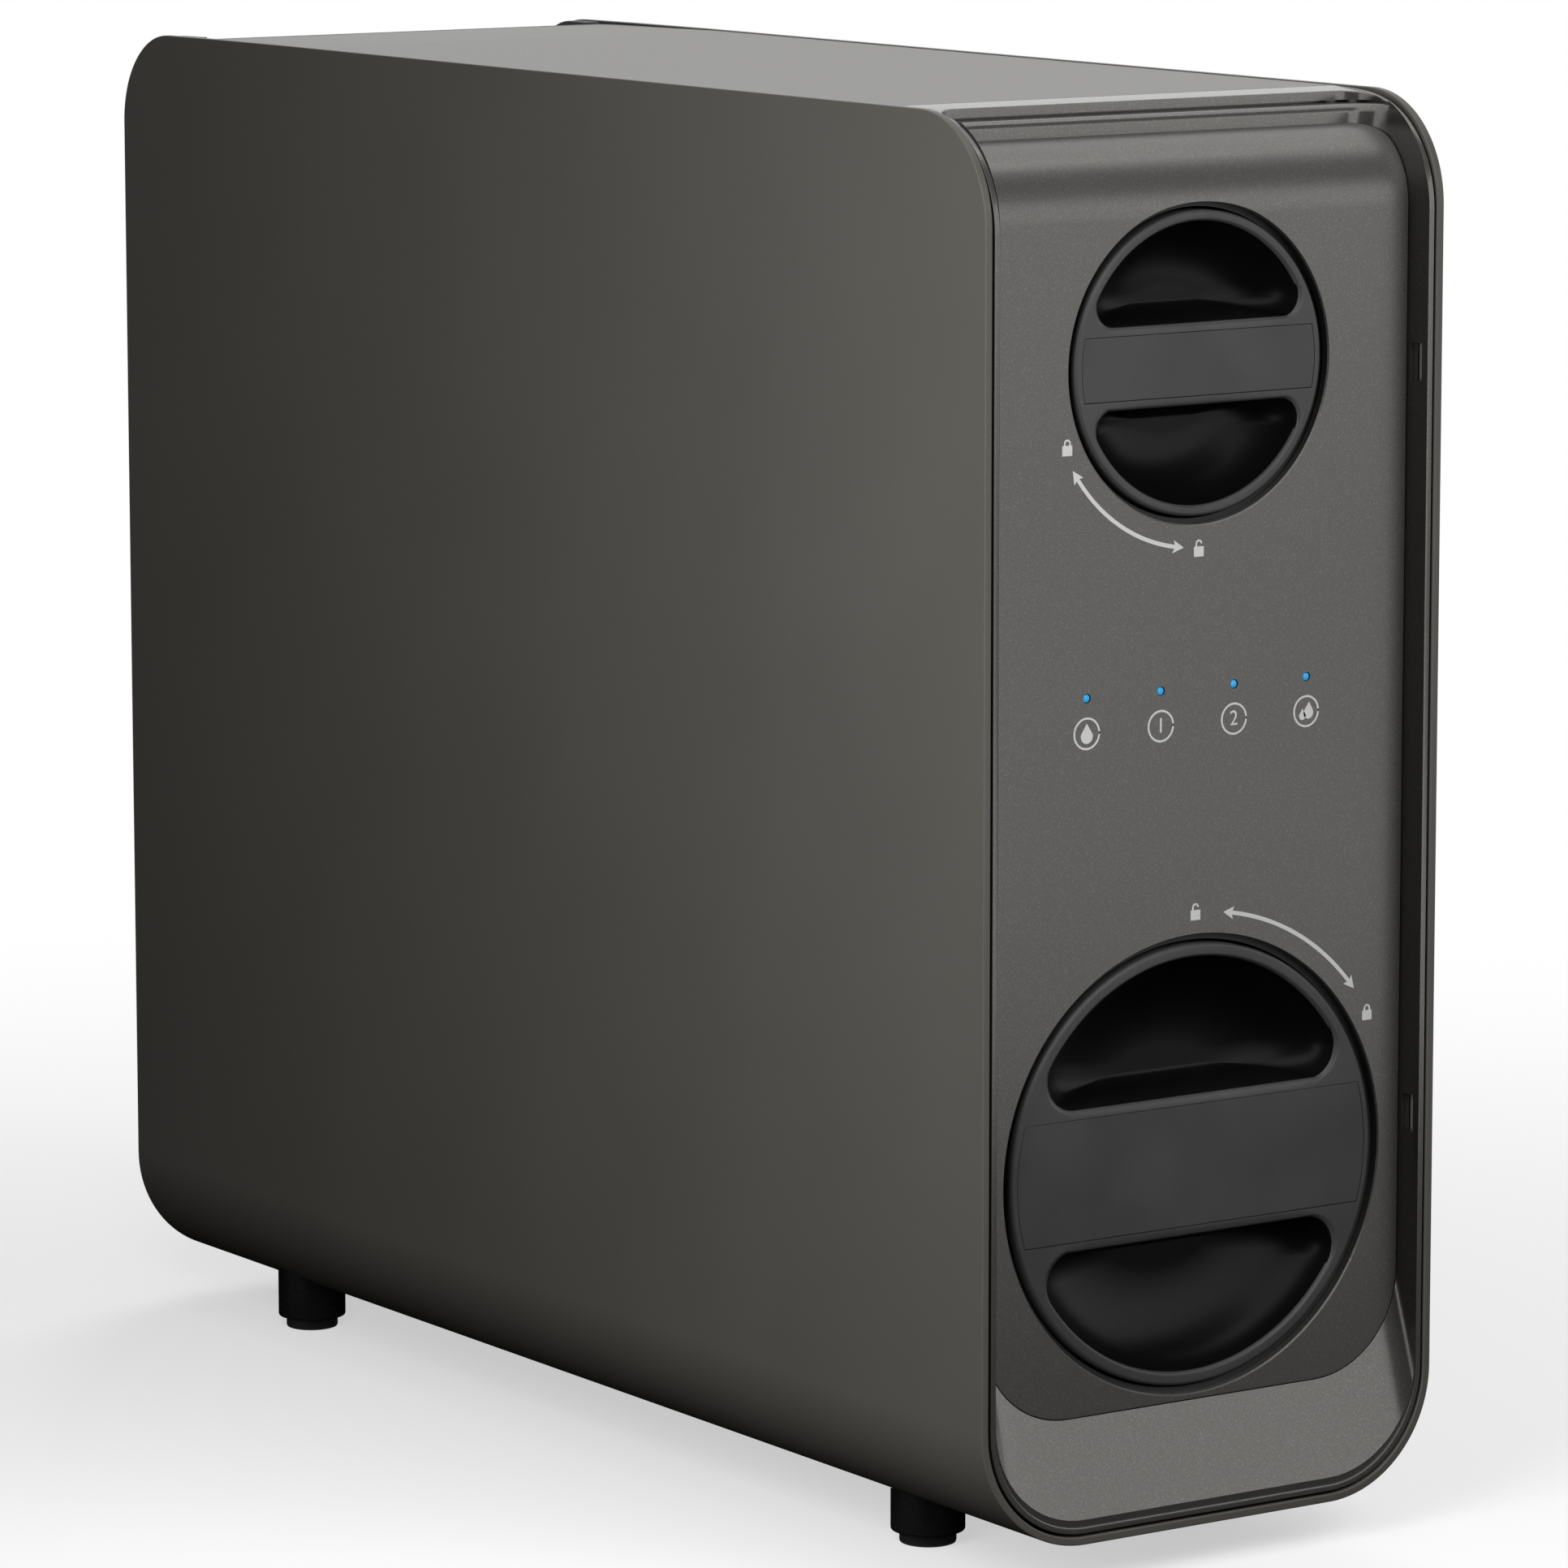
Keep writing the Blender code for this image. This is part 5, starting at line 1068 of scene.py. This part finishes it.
def make_back():
    low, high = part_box("rear_panel")
    start, over = low.y - 5 * MM, TOP + 5 * MM
    outline = [(-72 * MM, over), (-72 * MM, FLOOR + 3 * MM), (72 * MM, FLOOR + 3 * MM), (72 * MM, over)]
    rounds = [(1, 31 * MM), (2, 31 * MM)]
    back = settle(prism(outline, 1, low.y, high.y, rounds), "back", "casing", DARK_GREY, ["rear_panel"])
    side = [(start, FLOOR - 5 * MM), (REAR, FLOOR - 5 * MM), (REAR - 0.3 * MM, TOP - 1.0 * MM),
            (start, TOP - 0.6 * MM)]
    carve(back, prism(side, 0, -2 * HALF, 2 * HALF, [(2, 26.7 * MM)]), "INTERSECT")
    crown = [(start, TOP - 1.25 * MM), (REAR_FACE, TOP - 1.25 * MM), (REAR_FACE, TOP + 9 * MM),
             (start, TOP + 9 * MM)]
    carve(back, prism(crown, 0, -2 * HALF, 2 * HALF))
    carve(back, rear_hollow())
    for x in PORT_XS.values():
        hole = [(0, start), (6.3 * MM, start), (6.3 * MM, REAR), (0, REAR)]
        carve(back, turned(hole, (x, 0, PORT_Z), 48))
    window = [(x * MM, POWER_Z + z * MM) for x, z in ((-7.3, -5.3), (7.3, -5.3), (7.3, 5.3), (-7.3, 5.3))]
    carve(back, prism(window, 1, start, REAR))
    soften(back, 0.4 * MM, 2, 40)


make_back()
print("made:", made[-1])

# %% [markdown]
# Three push-fit ports come through the back. Each white body is turned with a grip ring, and its blue
# collar slides in to let the tube go. The low-voltage socket is a rounded box with a pin in the middle.

# %% Ports and power socket
PORT_SECTION = [(6.0, 0), (8.4, 0), (8.9, 0.3), (9.0, 0.8), (9.0, 4.0), (8.3, 4.6), (8.3, 5.4), (9.0, 6.0),
                (9.0, 19.0), (8.8, 19.6), (8.3, 20.0), (5.5, 20.0), (5.3, 19.8), (5.3, 12.2), (3.2, 12.2),
                (3.2, 4.0), (2.2, 4.0)]


def make_ports():
    start = REAR_FACE + 0.3 * MM
    for name, x in PORT_XS.items():
        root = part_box(f"{name}_port")[0].y
        section = [(2.2 * MM, root), (6.0 * MM, root)] + [(r, start + y) for r, y in mm(PORT_SECTION)]
        settle(turned(section + section[:1], (x, 0, PORT_Z), 64), f"{name}_fitting", "casing", WATER_WHITE,
               [f"{name}_port"], sharp=40)
        low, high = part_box(f"{name}_collet")
        flange = high.y - 1.4 * MM
        ring = [(3.33, low.y), (5.0, low.y), (5.0, flange), (6.4, flange), (6.6, flange + 0.3 * MM),
                (6.6, high.y - 0.4 * MM), (6.2, high.y), (3.9, high.y), (3.33, high.y - 0.5 * MM),
                (3.33, low.y)]
        bm = turned([(r * MM, y) for r, y in ring], (x, 0, PORT_Z), 64)
        settle(bm, f"{name}_collar", f"{name}_release", COLLET_BLUE, [f"{name}_collet"],
               sharp=40)


def box_between(low, high):
    return block([b - a for a, b in zip(low, high)], [(a + b) / 2 for a, b in zip(low, high)])


def make_socket():
    low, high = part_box("power_socket")
    flange, end = REAR_FACE + 0.3 * MM, high.y
    socket = settle(box_between((low.x, flange, low.z), tuple(high)), "dc_socket", "casing", PLATE_BLACK,
                    ["power_socket"])
    neck = (-7 * MM, low.y, POWER_Z - 5 * MM), (7 * MM, flange + 0.5 * MM, POWER_Z + 5 * MM)
    carve(socket, box_between(*neck), "UNION")
    hole = [(0, end - 9 * MM), (3.4 * MM, end - 9 * MM), (3.4 * MM, end + 1 * MM), (0, end + 1 * MM)]
    carve(socket, turned(hole, (0, 0, POWER_Z), 48))
    soften(socket, 0.5 * MM, 3)
    pin = [(r, end - y) for r, y in mm([(0, 9.2), (1.0, 9.2), (1.0, 1.4), (0.6, 0.9), (0, 0.8)])]
    settle(turned(pin, (0, 0, POWER_Z), 24), "dc_pin", "casing", STEEL)


make_ports()
make_socket()
print("made:", made[-8:])

# %% [markdown]
# Inner pieces keep their solids, because the shapes are right and hardly seen, and get their finishes by
# record slot.

# %% Finishes for the inner solids
SLOT_FINISH = {"warm_grey_paint": CASE_PAINT, "grey_flake_paint": FLAKE_PAINT, "brass": BRASS,
               "matt_black_plastic": PLATE_BLACK, "dark_grey_plastic": DARK_GREY,
               "white_plastic": WATER_WHITE, "blue_plastic": COLLET_BLUE, "black_rubber": RUBBER,
               "zinc_steel": STEEL, "board_green": BOARD, "carbon_black": CARBON,
               "membrane_white": MEMBRANE, "clear_blue_pipe": GLOW, "white_tube": TUBE}


def dress_solids():
    dressed = 0
    for node in NODES.values():
        for place in node.material_slots:
            name = place.material.name.split(".")[0]
            place.material = SLOT_FINISH[name]
            dressed += 1
    return dressed


print("solids dressed:", dress_solids())

# %% [markdown]
# The floor is pale and plain. Near the case it is a matt surface that takes the shadow; further out it
# turns into the white of the room. It bounces little light, so the curve under the case stays dark.

# %% Floor
FLOOR_SHADE = 0.45
FLOOR_BOUNCE = 0.03
SEEN_FADE, MIRROR_FADE = (0.2, 0.9), (0.3, 0.8)


def stage_sheet(name, width, height, finish, turn=Matrix()):
    """A flat sheet of the studio, which isn't part of the object."""
    bm = bmesh.new()
    bmesh.ops.create_grid(bm, x_segments=1, y_segments=1, size=0.5)
    bmesh.ops.scale(bm, vec=(width, height, 1), verts=bm.verts)
    bm.transform(turn)
    mesh = bpy.data.meshes.new(name)
    bm.to_mesh(mesh)
    bm.free()
    mesh.materials.append(finish)
    sheet = bpy.data.objects.new(name, mesh)
    scene.collection.objects.link(sheet)
    return sheet


def make_floor():
    finish, tree, shader = new_finish("pale_floor", (0.9, 0.9, 0.9), 1.0, specular=0.0)
    dull = add_node(tree, "BsdfDiffuse", {"Color": (FLOOR_BOUNCE, FLOOR_BOUNCE, FLOOR_BOUNCE, 1)})
    white = add_node(tree, "Emission")
    where = add_node(tree, "TexCoord")
    far = add_node(tree, "VectorMath")
    far.operation = "LENGTH"
    fade = add_node(tree, "MapRange", {"From Min": SEEN_FADE[0], "From Max": SEEN_FADE[1],
                                       "To Min": 1 - FLOOR_SHADE, "To Max": 1.0})
    fade.interpolation_type = "SMOOTHSTEP"
    mirror = add_node(tree, "MapRange", {"From Min": MIRROR_FADE[0], "From Max": MIRROR_FADE[1]})
    pick, path = add_node(tree, "Mix"), add_node(tree, "LightPath")
    seen, ray = add_node(tree, "MixShader"), add_node(tree, "MixShader")
    link_all(tree, (where.outputs["Object"], far.inputs[0]), (far.outputs["Value"], fade.inputs["Value"]),
             (far.outputs["Value"], mirror.inputs["Value"]),
             (path.outputs["Is Camera Ray"], pick.inputs["Factor"]),
             (mirror.outputs["Result"], pick.inputs["A"]), (fade.outputs["Result"], pick.inputs["B"]),
             (pick.outputs["Result"], seen.inputs["Fac"]), (shader.outputs["BSDF"], seen.inputs[1]),
             (white.outputs["Emission"], seen.inputs[2]), (seen_or_mirrored(tree), ray.inputs["Fac"]),
             (dull.outputs["BSDF"], ray.inputs[1]), (seen.outputs["Shader"], ray.inputs[2]),
             (ray.outputs["Shader"], tree.nodes["Material Output"].inputs["Surface"]))
    stage_sheet("floor", 60, 60, finish)


make_floor()
print("the floor is white from", SEEN_FADE[1], "m out")

# %% [markdown]
# Dark paint shows what stands round it, so a photographer sets black cards beside a lit product. One card
# at the rear left and one on the floor darken the far end of the case's side, one high at the front right
# draws the soft dark band over the face's bend, and those at the front left keep the recess walls dark.
# They are seen only in reflections.

# %% Black cards
JUST_ABOVE_FLOOR = 0.0006


def black_finish():
    finish = bpy.data.materials.new("card_black")
    finish.use_nodes = True
    tree = finish.node_tree
    dark = add_node(tree, "Emission", {"Color": (0, 0, 0, 1)})
    tree.links.new(dark.outputs["Emission"], tree.nodes["Material Output"].inputs["Surface"])
    return finish


CARD_BLACK = black_finish()


def black_card(name, place, target, width, height):
    card = stage_sheet(name, width, height, CARD_BLACK, aimed(place, target, "Z"))
    card.visible_camera = card.visible_diffuse = card.visible_shadow = False


black_card("rear_left_card", (-0.95, 1.45, 0.35), (-0.08, 0.15, 0.2), 1.3, 1.4)
black_card("front_right_card", (0.85, -1.05, 1.35), (0.0, -0.2, 0.38), 1.7, 1.0)
black_card("front_left_card", (-1.75, -2.60, 0.75), (0.0, -0.2, 0.2), 3.2, 1.5)
for name, x, y, width, height in (("floor_card", -0.85, 0.75, 2.7, 3.1),
                                  ("left_floor_card", -1.15, -1.70, 2.5, 2.7),
                                  ("right_floor_card", 1.55, -1.30, 1.4, 2.4)):
    black_card(name, (x, y, JUST_ABOVE_FLOOR), (x, y, 1.0), width, height)

# %% [markdown]
# The low key light would also shine straight into the recess and burn out a drawn white canister, so
# light linking keeps it off those four pieces. The fill and the top light still reach them.

# %% Shade the recess
spared = bpy.data.collections.new("spared_by_key")
for name in ("frame", "panel", "carbon_can", "membrane_can"):
    spared.objects.link(bpy.data.objects[name])
for entry in spared.collection_objects:
    entry.light_linking.link_state = "EXCLUDE"
bpy.data.objects["key_light"].light_linking.receiver_collection = spared
